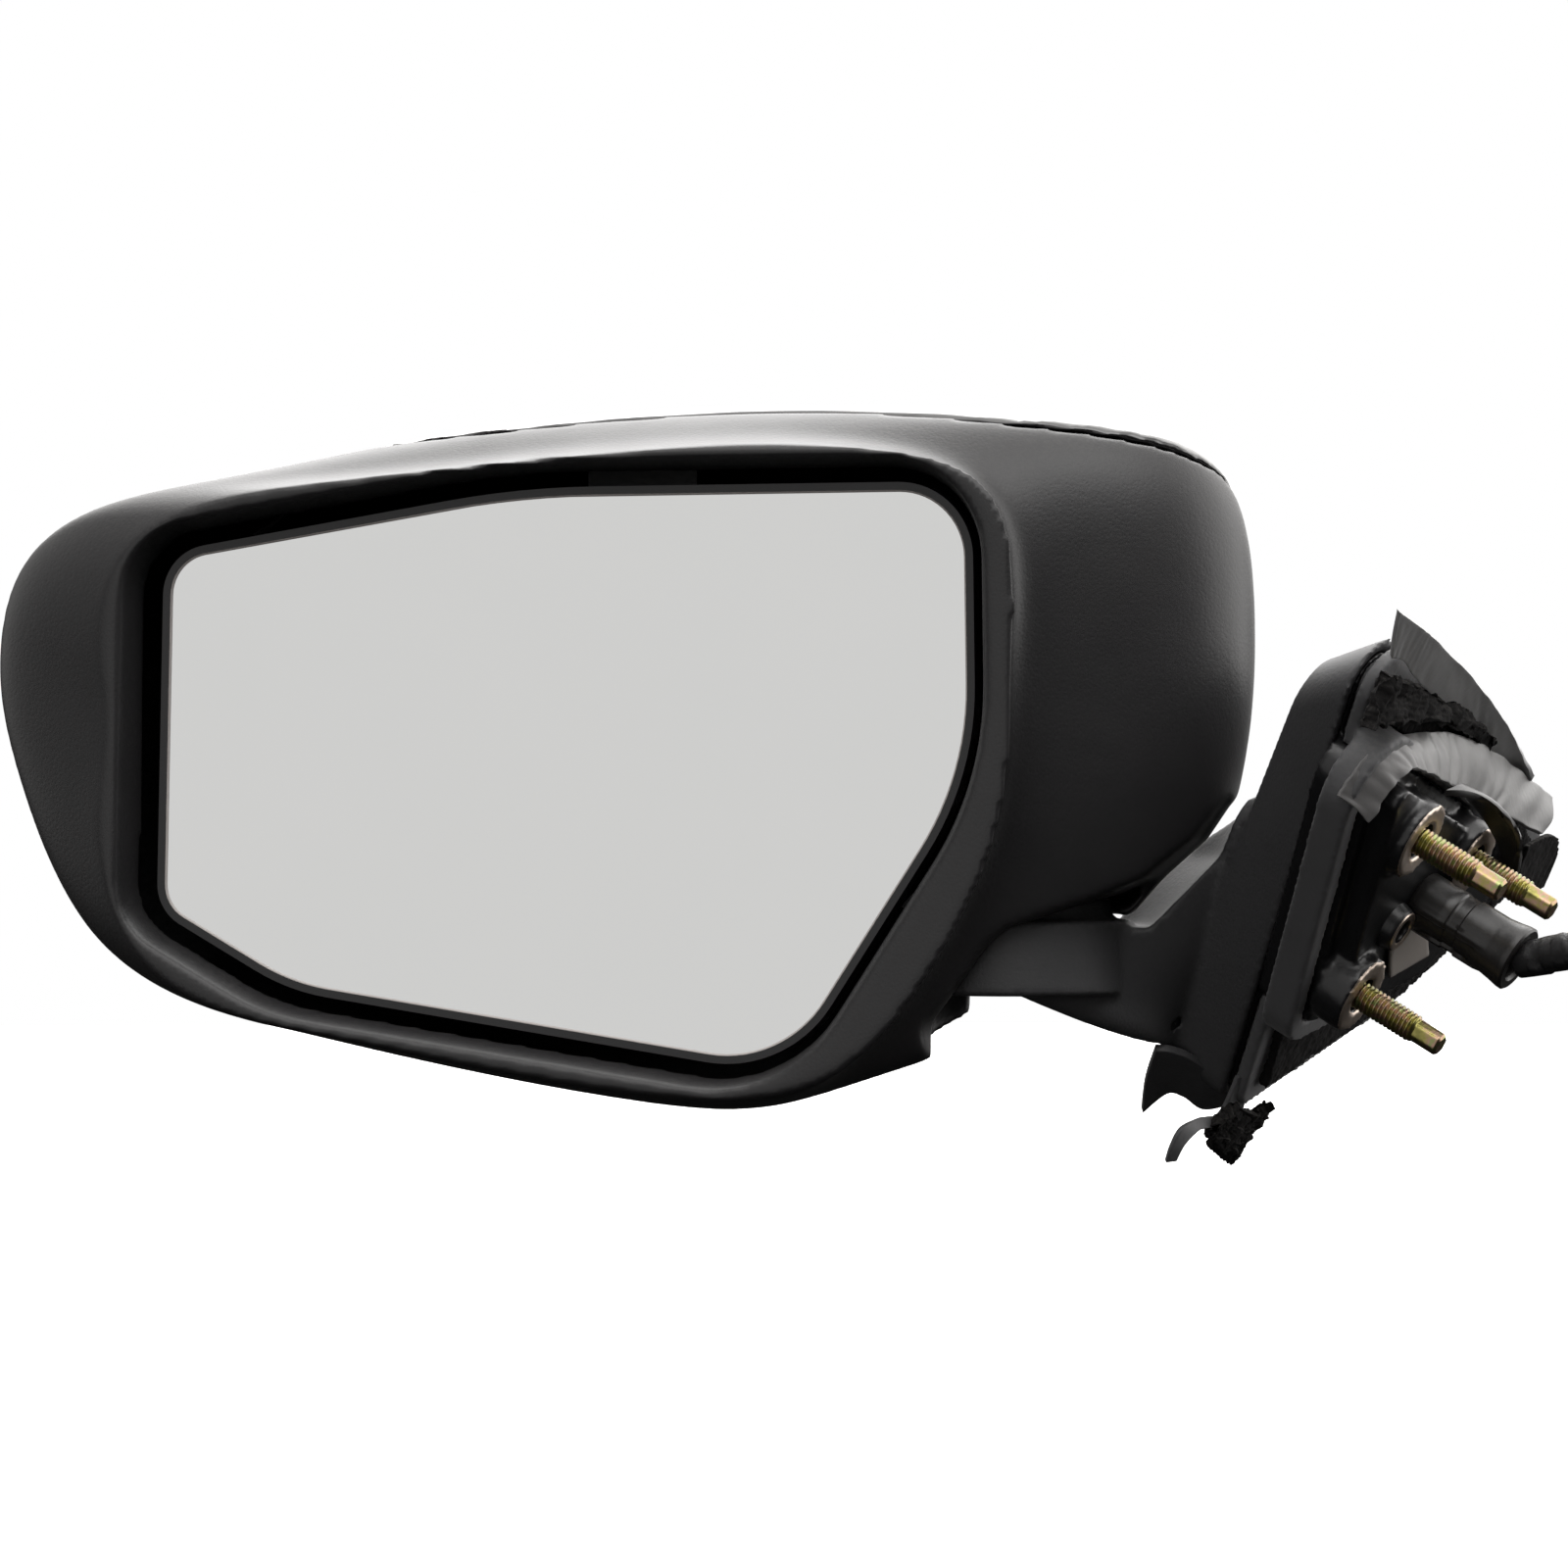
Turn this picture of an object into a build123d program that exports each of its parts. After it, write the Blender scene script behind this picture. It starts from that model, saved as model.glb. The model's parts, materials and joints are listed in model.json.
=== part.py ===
"""Powered, manually folding door mirror for the left-hand side of a car.

Frame: origin at the centre of the three mounting studs, on the face that meets the door.
+X points inboard, +Y points forward along the car and +Z points up. Lengths are in mm.
"""

from build123d import *
import os
from math import cos, pi, radians, sin, tan

os.makedirs("parts", exist_ok=True)

# Driving dimensions: fold axis, vertical, and the seam between head and arm
arm_reach = 84.0
fold_x = -arm_reach
fold_y = -6.0
seam_z = -4.0

# Where the centre of the glass stands from the fold axis and the seam
head_reach = 84.0
glass_back = 36.0
glass_rise = 30.0
glass_x = fold_x - head_reach
glass_y = fold_y - glass_back
glass_z = seam_z + glass_rise

# Gap of the seam and the circle the head sweeps round the fold axis
seam_gap = 0.6
swing_radius = 55.0

# Mounting face of the door
door_lean = 30.0
door_turn = 10.0

# Head shell
rim_y = -9.0
wall = 2.3
flank_wall = 3.2
cavity_y = 1.0
cap_gap = 0.5
floor_wall = 1.8

# Glass and its holder
glass_thick = 2.0
pad_thick = 0.6
plate_thick = 2.4
holder_lip = 1.6
holder_proud = 0.6
recess_gap = 4.2
recess_taper = 14.0
recess_shift = -1.3

# Tilting gimbal
pivot_y = 16.0
tilt_ring_outer = 13.0
tilt_ring_inner = 9.0
tilt_ring_depth = 6.0
pin_radius = 2.0
pin_clearance = 0.05
pin_reach = 18.5
lug_near = 15.0
lug_far = 18.0
lug_width = 8.0

# Jackscrews
lever = 28.0
ball_radius = 3.0
ball_clearance = 0.75
stem_radius = 2.0
cup_wall = 1.6
gear_radius = 9.0
gear_width = 6.0
gear_teeth = 18
gear_y = 31.0
worm_radius = 2.6
mesh_gap = 0.35
motor_radius = 8.0
motor_length = 30.0

# Actuator case
case_y = 23.5
case_cover = 2.0
case_depth = 22.5
case_wall = 2.0

# Head frame and fold bearing
frame_thick = 3.0
post_radius = 10.0
post_bore = 6.0
post_top = 40.0
hub_radius = 16.0
hub_top = 16.0
detent_height = 4.0
detent_teeth = 6
spring_wire = 3.0
spring_turns = 4

# Arm and foot
turret_radius = 23.5
lip_outer = 20.0
lip_inner = 17.4
lip_height = 4.5
turret_depth = 15.5
cover_in = 21.0
cover_out = 36.0
skin = 2.5
core_gap = 0.3

# Studs, bosses and the face between them
stud_circle = 46.0
stud_count = 3
stud_radius = 3.0
stud_shank = 3.8
stud_thread = 13.6
stud_tip = 6.0
stud_tip_flats = 4.6
boss_radius = 8.5
boss_height = 3.0

# Connector and harness
collar_radius = 6.4
collar_flange = 0.8
collar_flange_long = 3.0
collar_length = 22.0
harness_diameter = 8.0

glass_centre = Vector(glass_x, glass_y, glass_z)
normal = Vector(
    cos(radians(door_lean)) * cos(radians(door_turn)),
    -cos(radians(door_lean)) * sin(radians(door_turn)),
    -sin(radians(door_lean)),
)
along_door = Vector(sin(radians(door_turn)), cos(radians(door_turn)), 0)
door = Plane(origin=(0, 0, 0), x_dir=along_door, z_dir=normal)


def head_plane(depth):
    """Plane across the head, depth mm forward of the glass face, facing the driver."""
    return Plane(origin=glass_centre + Vector(0, depth, 0), x_dir=(1, 0, 0), z_dir=(0, -1, 0))


def lying_plane(x, z, depth=0.0):
    """Plane across the car at a point given from the glass centre, facing inboard."""
    return Plane(origin=glass_centre + Vector(x, depth, z), x_dir=(0, 1, 0), z_dir=(1, 0, 0))


# Outlines of the head, seen from the driver, in the same clock order: outboard tip first
rim_outline = [
    (-100, 20), (-95, 46), (-50, 60.5), (10, 65.5), (62, 66), (88.5, 58), (94.5, 24),
    (91.5, -10), (78, -39), (55, -62), (20, -65.5), (-50, -54.5), (-92, -38), (-101, -10),
]
edge_outline = [
    (-129, 30), (-124, 43), (-68, 63.5), (10, 71.5), (72, 70), (98, 60), (105, 26),
    (100, -10), (87, -38), (64, -60.5), (20, -66), (-60, -53.5), (-106, -33), (-125, 0),
]
deep_outline = [
    (-114, 24), (-99, 46), (-55, 67), (15, 76), (82, 75), (126, 63.5), (133.5, 32),
    (130, -4), (117, -32), (78, -53), (15, -62), (-55, -50), (-95, -31), (-112, -2),
]
edge_y = 8.0
deep_y = 42.0
nose_centre = (10.0, 14.0)
nose_stations = [(62.0, 0.9), (75.0, 0.69), (83.0, 0.42), (86.3, 0.16)]


def scaled(points, factor, centre):
    """Outline drawn in towards a centre."""
    return [(centre[0] + (x - centre[0]) * factor, centre[1] + (z - centre[1]) * factor) for x, z in points]


def drawn_in(points, thickness):
    """Outline moved in by a wall's thickness on each axis."""
    xs = [x for x, z in points]
    zs = [z for x, z in points]
    mid_x, mid_z = (min(xs) + max(xs)) / 2, (min(zs) + max(zs)) / 2
    fx = 1 - 2 * thickness / (max(xs) - min(xs))
    fz = 1 - 2 * thickness / (max(zs) - min(zs))
    return [(mid_x + (x - mid_x) * fx, mid_z + (z - mid_z) * fz) for x, z in points]


head_stations = [(rim_y, rim_outline), (edge_y, edge_outline), (deep_y, deep_outline)]
for station_y, factor in nose_stations:
    head_stations.append((station_y, scaled(deep_outline, factor, nose_centre)))

with BuildPart() as head_solid:
    for station_y, outline in head_stations:
        with BuildSketch(head_plane(station_y)):
            with BuildLine():
                Spline(*outline, periodic=True)
            make_face()
    loft()

with BuildPart() as head_inside:
    for station_y, outline in head_stations:
        with BuildSketch(head_plane(station_y - (wall if station_y > deep_y else 0))):
            with BuildLine():
                Spline(*drawn_in(outline, flank_wall), periodic=True)
            make_face()
    loft()
    split(bisect_by=Plane(origin=glass_centre + Vector(0, cavity_y, 0), z_dir=(0, 1, 0)), keep=Keep.TOP)


# Seam between the head and the arm: a line across the rear half, from the fold axis and the
# seam's height, and a bowl round the axis in the front half
seam_line = [
    (-12, -22), (-7, -16), (1, -5.5), (5, -2.3), (11, 0), (22, 4), (31, 8), (40, 16), (46, 25), (62, 27),
]
bowl_line = [(24, 0), (31, 8), (40, 16), (46, 25)]
bowl_top = 64.0
arm_bowl = [(24, 0), (24.5, -1.6), (28.5, -1.6), (36, 6), (43, 13), (49, 25), (53, 36), (swing_radius, bowl_top)]
head_bowl = 46.0
bowl_arc = 125.0
far = 90.0
fold_axis = Axis((fold_x, fold_y, 0), (0, 0, 1))


def fold_plane(rise=0.0):
    """Plane across the head through the fold axis, facing the driver, at the seam's height."""
    return Plane(origin=(fold_x, fold_y, seam_z + rise), x_dir=(1, 0, 0), z_dir=(0, -1, 0))


def seam_tool(gap):
    """Space under the seam that the head keeps clear of, gap mm above the arm."""
    with BuildPart() as tool:
        with BuildSketch(fold_plane(gap)):
            with BuildLine():
                Polyline(*[(x - gap, z) for x, z in seam_line], (62, -far), (-12 - gap, -far), close=True)
            make_face()
        extrude(amount=far)
        with BuildSketch(fold_plane(gap)):
            with BuildLine():
                Polyline((0, 0), *bowl_line, (head_bowl + gap, -far), (0, -far), close=True)
            make_face()
        revolve(axis=fold_axis, revolution_arc=bowl_arc)
        with BuildSketch(Plane.XY.offset(seam_z + gap)):
            with Locations((fold_x, fold_y)):
                Circle(turret_radius + gap)
        extrude(amount=-far)
    return tool.part


seam_cut = seam_tool(seam_gap)
seam_floor = seam_tool(seam_gap + floor_wall)

# Parting line between housing and scalp cover, seen from the side: forward and up from the glass
parting = [(15, 71), (42, 59), (52, 28), (60, -17), (90, -24)]
parting_radii = [0, 14, 30, 14, 0]


def cap_zone(shift):
    """Space forward of the parting line, drawn back by shift mm."""
    line = [(y + shift, z + shift) for y, z in parting]
    with BuildPart() as tool:
        with BuildSketch(lying_plane(0, 0)):
            with BuildLine():
                FilletPolyline(
                    *line, (120, -24 + shift), (120, 120), (15 + shift, 120),
                    radius=[*parting_radii, 0, 0, 0], close=True,
                )
            make_face()
        extrude(amount=200, both=True)
    return tool.part


# Outline of the glass, seen from the driver: corners and their radii
glass_corners = [
    ((-88.5, 45), 9), ((-12, 57.5), 200), ((82, 57.8), 14), ((82.8, 0), 60),
    ((44, -59.8), 25), ((-62, -43.5), 45), ((-90, -27.5), 8),
]


def glass_face(grow=0.0):
    """Glass outline as a flat sketch, grown by grow mm."""
    with BuildSketch() as face:
        with BuildLine():
            FilletPolyline(
                *[corner for corner, radius in glass_corners],
                radius=[radius for corner, radius in glass_corners], close=True,
            )
        make_face()
        if grow:
            offset(amount=grow)
    return face.sketch


recess_floor = cavity_y + 0.2
with BuildPart() as recess:
    with BuildSketch(head_plane(recess_floor)):
        with Locations((recess_shift, 0)):
            add(glass_face(recess_gap))
    extrude(amount=recess_floor - rim_y + 1, taper=-recess_taper)

with BuildPart() as head_room:
    add(head_inside.part)
    add(seam_floor, mode=Mode.SUBTRACT)

with BuildPart() as head_skin:
    add(head_solid.part)
    add(head_room.part, mode=Mode.SUBTRACT)
    add(seam_cut, mode=Mode.SUBTRACT)

with BuildPart() as head_housing:
    add(head_skin.part)
    add(recess.part, mode=Mode.SUBTRACT)
    add(cap_zone(0), mode=Mode.SUBTRACT)
    with BuildSketch(Plane.XY.offset(seam_z - 1)):
        with Locations((fold_x, fold_y)):
            Circle(lip_outer + 1)
    extrude(amount=8, mode=Mode.SUBTRACT)
head_housing.part.label = "head_housing"
export_step(head_housing.part, "parts/head_housing.step")

with BuildPart() as scalp_cover:
    add(head_skin.part)
    add(cap_zone(cap_gap), mode=Mode.INTERSECT)
scalp_cover.part.label = "scalp_cover"
export_step(scalp_cover.part, "parts/scalp_cover.step")


# Mirror glass, its heater pad and the holder that tilts with them
with BuildPart() as mirror_glass:
    with BuildSketch(head_plane(glass_thick)):
        add(glass_face())
    extrude(amount=glass_thick)
mirror_glass.part.label = "mirror_glass"
export_step(mirror_glass.part, "parts/mirror_glass.step")

pad_back = glass_thick + pad_thick
with BuildPart() as heater_pad:
    with BuildSketch(head_plane(pad_back)):
        add(glass_face(-1.0))
    extrude(amount=pad_thick)
heater_pad.part.label = "heater_pad"
export_step(heater_pad.part, "parts/heater_pad.step")

plate_back = pad_back + plate_thick
cup_radius = ball_radius + ball_clearance
cup_back = pivot_y + 1.5
lug_middle = (lug_near + lug_far) / 2
lug_long = lug_far - lug_near
screw_places = [(lever, 0.0), (0.0, -lever)]
with BuildPart() as glass_holder:
    with BuildSketch(head_plane(plate_back)):
        add(glass_face(holder_lip))
    extrude(amount=plate_back + holder_proud)
    with BuildSketch(head_plane(pad_back)):
        add(glass_face())
    extrude(amount=pad_back + holder_proud + 1, mode=Mode.SUBTRACT)
    with BuildSketch(head_plane(plate_back)):
        with Locations((0, lug_middle), (0, -lug_middle)):
            Rectangle(lug_width, lug_long)
    extrude(amount=-(pivot_y + lug_width / 2 - plate_back))
    with BuildSketch(head_plane(plate_back)):
        with Locations(*screw_places):
            Circle(cup_radius + cup_wall)
    extrude(amount=-(cup_back - plate_back))
    with BuildSketch(head_plane(cup_back)):
        with Locations(*screw_places):
            Circle(cup_radius)
    extrude(amount=cup_back - pivot_y + cup_radius + 1, mode=Mode.SUBTRACT)
    with BuildSketch(Plane(origin=glass_centre + Vector(0, pivot_y, -lug_far - 1), z_dir=(0, 0, 1))):
        Circle(pin_radius + pin_clearance)
    extrude(amount=2 * lug_far + 2, mode=Mode.SUBTRACT)
glass_holder.part.label = "glass_holder"
export_step(glass_holder.part, "parts/glass_holder.step")

# Gimbal ring with its four pins
with BuildPart() as tilt_ring:
    with BuildSketch(head_plane(pivot_y - tilt_ring_depth / 2)):
        Circle(tilt_ring_outer)
        Circle(tilt_ring_inner, mode=Mode.SUBTRACT)
    extrude(amount=-tilt_ring_depth)
    pin_length = pin_reach - (tilt_ring_inner + tilt_ring_outer) / 2
    for turn in range(4):
        swing = turn * pi / 2
        outward = Vector(cos(swing), 0, sin(swing))
        root = glass_centre + Vector(0, pivot_y, 0) + outward * (pin_reach - pin_length)
        with BuildSketch(Plane(origin=root, z_dir=outward)):
            Circle(pin_radius)
        extrude(amount=pin_length)
tilt_ring.part.label = "tilt_ring"
export_step(tilt_ring.part, "parts/tilt_ring.step")

# Ball-ended jackscrews, the nut gears on them and the worms that drive those
stem_end = gear_y + 10.0
for name, (x, z) in zip(("jackscrew_side", "jackscrew_low"), screw_places):
    with BuildPart() as jackscrew:
        with BuildSketch(head_plane(pivot_y)):
            with Locations((x, z)):
                Circle(stem_radius)
        extrude(amount=-(stem_end - pivot_y))
        with Locations(glass_centre + Vector(x, pivot_y, z)):
            Sphere(ball_radius)
    jackscrew.part.label = name
    export_step(jackscrew.part, f"parts/{name}.step")

tooth_height = 1.2
for name, (x, z) in zip(("nut_gear_side", "nut_gear_low"), screw_places):
    with BuildPart() as nut_gear:
        with BuildSketch(head_plane(gear_y)):
            with Locations((x, z)):
                Circle(gear_radius - tooth_height)
                with PolarLocations(gear_radius - tooth_height, gear_teeth):
                    Rectangle(2 * tooth_height, 1.4)
                Circle(stem_radius + pin_clearance, mode=Mode.SUBTRACT)
        extrude(amount=-gear_width)
    nut_gear.part.label = name
    export_step(nut_gear.part, f"parts/{name}.step")

worm_y = gear_y + gear_width / 2
worm_rise = gear_radius + mesh_gap + worm_radius
shaft_radius = 1.0
worm_places = [(lever, worm_rise), (0.0, -lever + worm_rise)]
worm_length = 16.0
thread_count = 6
thread_pitch = 2.4
thread_depth = 0.8
thread_width = 1.0
thread_start = 1.5
shaft_in_motor = 6.0
motor_gap = 4.0
motor_boss = 3.0
motor_boss_height = 1.5
for name, (x, z) in zip(("worm_side", "worm_low"), worm_places):
    with BuildPart() as worm:
        with BuildSketch(lying_plane(x - worm_length / 2, z, worm_y)):
            Circle(worm_radius)
        extrude(amount=worm_length)
        for ring in range(thread_count):
            with BuildSketch(lying_plane(x - worm_length / 2 + thread_start + thread_pitch * ring, z, worm_y)):
                Circle(worm_radius)
                Circle(worm_radius - thread_depth, mode=Mode.SUBTRACT)
            extrude(amount=thread_width, mode=Mode.SUBTRACT)
        with BuildSketch(lying_plane(x - worm_length / 2, z, worm_y)):
            Circle(shaft_radius)
        extrude(amount=-motor_gap - shaft_in_motor)
    worm.part.label = name
    export_step(worm.part, f"parts/{name}.step")

for name, (x, z) in zip(("motor_side", "motor_low"), worm_places):
    with BuildPart() as motor:
        with BuildSketch(lying_plane(x - worm_length / 2 - motor_gap, z, worm_y)):
            Circle(motor_radius)
        extrude(amount=-motor_length)
        with BuildSketch(lying_plane(x - worm_length / 2 - motor_gap, z, worm_y)):
            Circle(motor_boss)
        extrude(amount=motor_boss_height)
        with BuildSketch(lying_plane(x - worm_length / 2 - motor_gap + motor_boss_height, z, worm_y)):
            Circle(shaft_radius + pin_clearance)
        extrude(amount=-(motor_boss_height + shaft_in_motor + 1), mode=Mode.SUBTRACT)
    motor.part.label = name
    export_step(motor.part, f"parts/{name}.step")

# Actuator case, closed on the glass side by its cover
case_width = 88.0
case_height = 66.0
case_mid = (-2.0, -9.0)
case_front = case_y + case_cover
case_back = case_front + case_depth
case_screw_x = case_width / 2 - 5
case_screw_z = case_height / 2 - 5
case_boss = 3.6
case_screw_radius = 1.25
case_screw_length = 8.5
case_screw_head = 2.5
case_screw_socket = 1.1
head_height = 1.5
gear_gap = 0.3
frame_screw_radius = 2.0
frame_holes = [(-34, -30), (-34, 14), (30, 14)]
frame_screw_head = 3.6
frame_screw_socket = 1.6
case_corners = [
    (case_mid[0] + side * case_screw_x, case_mid[1] + level * case_screw_z)
    for side in (-1, 1) for level in (-1, 1)
]
with BuildPart() as actuator_case:
    with BuildSketch(head_plane(case_back)):
        with Locations(case_mid):
            RectangleRounded(case_width, case_height, 6)
    extrude(amount=case_depth)
    with BuildSketch(head_plane(case_back - case_wall)):
        with Locations(case_mid):
            RectangleRounded(case_width - 2 * case_wall, case_height - 2 * case_wall, 4)
    extrude(amount=case_depth, mode=Mode.SUBTRACT)
    with BuildSketch(head_plane(case_back - case_wall)):
        with Locations(*case_corners):
            Circle(case_boss)
    extrude(amount=case_depth - case_wall)
    with BuildSketch(head_plane(case_back - case_wall)):
        with Locations(*screw_places):
            Circle(stem_radius + 3)
            Circle(stem_radius + 0.8, mode=Mode.SUBTRACT)
    extrude(amount=case_back - case_wall - gear_y - gear_width - gear_gap)
    with BuildSketch(head_plane(case_back)):
        with Locations(*frame_holes):
            Circle(frame_screw_radius)
    extrude(amount=case_wall, mode=Mode.SUBTRACT)
    with BuildSketch(head_plane(case_front + case_screw_length + 0.5)):
        with Locations(*case_corners):
            Circle(case_screw_radius)
    extrude(amount=10, mode=Mode.SUBTRACT)
actuator_case.part.label = "actuator_case"
export_step(actuator_case.part, "parts/actuator_case.step")

with BuildPart() as actuator_cover:
    with BuildSketch(head_plane(case_front)):
        with Locations(case_mid):
            RectangleRounded(case_width, case_height, 6)
    extrude(amount=case_cover)
    with BuildSketch(head_plane(case_front)):
        with Locations((lug_middle, 0), (-lug_middle, 0)):
            Rectangle(lug_long, lug_width)
    extrude(amount=case_front - pivot_y + lug_width / 2)
    with BuildSketch(lying_plane(-lug_far - 1, 0, pivot_y)):
        Circle(pin_radius + pin_clearance)
    extrude(amount=2 * lug_far + 2, mode=Mode.SUBTRACT)
    with BuildSketch(head_plane(case_front)):
        with Locations(*screw_places):
            Circle(stem_radius + 2.5)
    extrude(amount=-(gear_y - case_front - gear_gap))
    with BuildSketch(head_plane(gear_y)):
        with Locations(*screw_places):
            Circle(stem_radius + pin_clearance)
        with Locations(*case_corners):
            Circle(case_screw_radius + 0.15)
    extrude(amount=10, mode=Mode.SUBTRACT)
actuator_cover.part.label = "actuator_cover"
export_step(actuator_cover.part, "parts/actuator_cover.step")

with BuildPart() as case_screws:
    with BuildSketch(head_plane(case_front + case_screw_length)):
        with Locations(*case_corners):
            Circle(case_screw_radius)
    extrude(amount=case_screw_length + case_cover)
    with BuildSketch(head_plane(case_y)):
        with Locations(*case_corners):
            Circle(case_screw_head)
            RegularPolygon(case_screw_socket, 6, mode=Mode.SUBTRACT)
    extrude(amount=head_height)
case_screws.part.label = "case_screws"
export_step(case_screws.part, "parts/case_screws.step")

# Bracket inside the head, with the hub that turns on the fold post
frame_y = case_back
frame_corners = [
    ((-54, -40), 8), ((46, -40), 8), ((60, -24), 4), ((84, -24), 0), ((84, -11), 0),
    ((64, -11), 4), ((58, 10), 8), ((44, 32), 10), ((-54, 32), 8),
]
frame_head_height = 2.0
frame_screw_reach = 4.0
hub_bottom = seam_z + detent_height + 0.1
with BuildPart() as head_frame:
    with BuildSketch(head_plane(frame_y + frame_thick)):
        with BuildLine():
            FilletPolyline(
                *[corner for corner, radius in frame_corners],
                radius=[radius for corner, radius in frame_corners], close=True,
            )
        make_face()
        with Locations((-85, 0)):
            Rectangle(70, 22)
        with Locations((0, 55)):
            Rectangle(24, 50)
        with Locations((-16, -14), (20, -14)):
            RectangleRounded(22, 26, 5, mode=Mode.SUBTRACT)
        with Locations(*frame_holes):
            Circle(frame_screw_radius + 0.2, mode=Mode.SUBTRACT)
    extrude(amount=frame_thick)
    add(head_room.part, mode=Mode.INTERSECT)
    with BuildSketch(Plane.XY.offset(hub_bottom)):
        with Locations((fold_x, fold_y)):
            Circle(hub_radius)
    extrude(amount=hub_top - hub_bottom)
    with BuildSketch(Plane.XY.offset(hub_bottom)):
        with Locations((fold_x, fold_y)):
            Circle(post_radius + pin_clearance)
    extrude(amount=hub_top, mode=Mode.SUBTRACT)
head_frame.part.label = "head_frame"
export_step(head_frame.part, "parts/head_frame.step")

with BuildPart() as frame_screws:
    with BuildSketch(head_plane(frame_y + frame_thick)):
        with Locations(*frame_holes):
            Circle(frame_screw_radius - 0.05)
    extrude(amount=frame_thick + frame_screw_reach)
    with BuildSketch(head_plane(frame_y + frame_thick + frame_head_height)):
        with Locations(*frame_holes):
            Circle(frame_screw_head)
            RegularPolygon(frame_screw_socket, 6, mode=Mode.SUBTRACT)
    extrude(amount=frame_head_height)
frame_screws.part.label = "frame_screws"
export_step(frame_screws.part, "parts/frame_screws.step")

# Fold post, detent ring, spring, washer and clip, all on the arm's side of the fold joint
post_root = 12.0
detent_circle = 13.0
detent_radius = 1.8
with BuildPart() as fold_post:
    with BuildSketch(Plane.XY.offset(seam_z - post_root)):
        with Locations((fold_x, fold_y)):
            Circle(post_radius)
            Circle(post_bore, mode=Mode.SUBTRACT)
    extrude(amount=post_top - seam_z + post_root)
fold_post.part.label = "fold_post"
export_step(fold_post.part, "parts/fold_post.step")

with BuildPart() as detent_ring:
    with BuildSketch(Plane.XY.offset(seam_z)):
        with Locations((fold_x, fold_y)):
            Circle(hub_radius)
            Circle(post_radius, mode=Mode.SUBTRACT)
    extrude(amount=detent_height)
    with BuildSketch(Plane.XY.offset(seam_z + detent_height - 1)):
        with Locations((fold_x, fold_y)):
            with PolarLocations(detent_circle, detent_teeth):
                Circle(detent_radius)
    extrude(amount=2, mode=Mode.SUBTRACT)
detent_ring.part.label = "detent_ring"
export_step(detent_ring.part, "parts/detent_ring.step")

spring_radius = post_radius + spring_wire / 2 + 0.5
spring_low = hub_top + 0.3 + spring_wire / 2
washer_low = post_top - 6.0
washer_thick = 2.0
clip_thick = 1.2
spring_rise = washer_low - spring_wire / 2 - spring_low
with BuildPart() as fold_spring:
    with BuildLine() as coil:
        Helix(spring_rise / spring_turns, spring_rise, spring_radius, center=(fold_x, fold_y, spring_low))
    with BuildSketch(Plane(origin=coil.line @ 0, z_dir=coil.line % 0)):
        Circle(spring_wire / 2)
    sweep(path=coil.line, is_frenet=True)
fold_spring.part.label = "fold_spring"
export_step(fold_spring.part, "parts/fold_spring.step")

with BuildPart() as spring_washer:
    with BuildSketch(Plane.XY.offset(washer_low)):
        with Locations((fold_x, fold_y)):
            Circle(post_radius + spring_wire + 2)
            Circle(post_radius, mode=Mode.SUBTRACT)
    extrude(amount=washer_thick)
spring_washer.part.label = "spring_washer"
export_step(spring_washer.part, "parts/spring_washer.step")

with BuildPart() as post_clip:
    with BuildSketch(Plane.XY.offset(washer_low + washer_thick)):
        with Locations((fold_x, fold_y)):
            Circle(post_radius + 2.5)
            Circle(post_radius, mode=Mode.SUBTRACT)
            with Locations((0, -post_radius)):
                Rectangle(9, 8, mode=Mode.SUBTRACT)
    extrude(amount=clip_thick)
post_clip.part.label = "post_clip"
export_step(post_clip.part, "parts/post_clip.step")

# Foot and arm. Outlines lie in the door plane: forward along the door, then up it
leaf_door = [((-52, 51), 9), ((0, 46), 60), ((60, 28), 80), ((128, 0), 10), ((70, -40), 40), ((12, -62), 6)]
leaf_arm = [((-31, 38), 9), ((2, 34), 30), ((45, 19), 40), ((90, -6), 10), ((50, -38), 20), ((4, -59), 6)]
arm_root = [((-17, 9), 5), ((7, -57), 5), ((48, -42), 10), ((34, 8), 10)]
arm_middle = [((-5, 20), 5), ((-4, -17), 5), ((30, -19), 6), ((30, 18), 6)]
arm_tip = [((-15, 8), 5), ((-15, -8), 5), ((15, -8), 5), ((15, 8), 5)]
tip_centre = Vector(fold_x + 4.0, fold_y, seam_z - 8.0)
middle_centre = Vector(fold_x + 22.0, fold_y, seam_z - 6.0)


def leaf(corners, shrink=0.0):
    """Rounded outline through corners, drawn in by shrink mm."""
    with BuildSketch() as face:
        with BuildLine():
            FilletPolyline(
                *[corner for corner, radius in corners], radius=[radius for corner, radius in corners], close=True
            )
        make_face()
        if shrink:
            offset(amount=-shrink)
    return face.sketch


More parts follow.
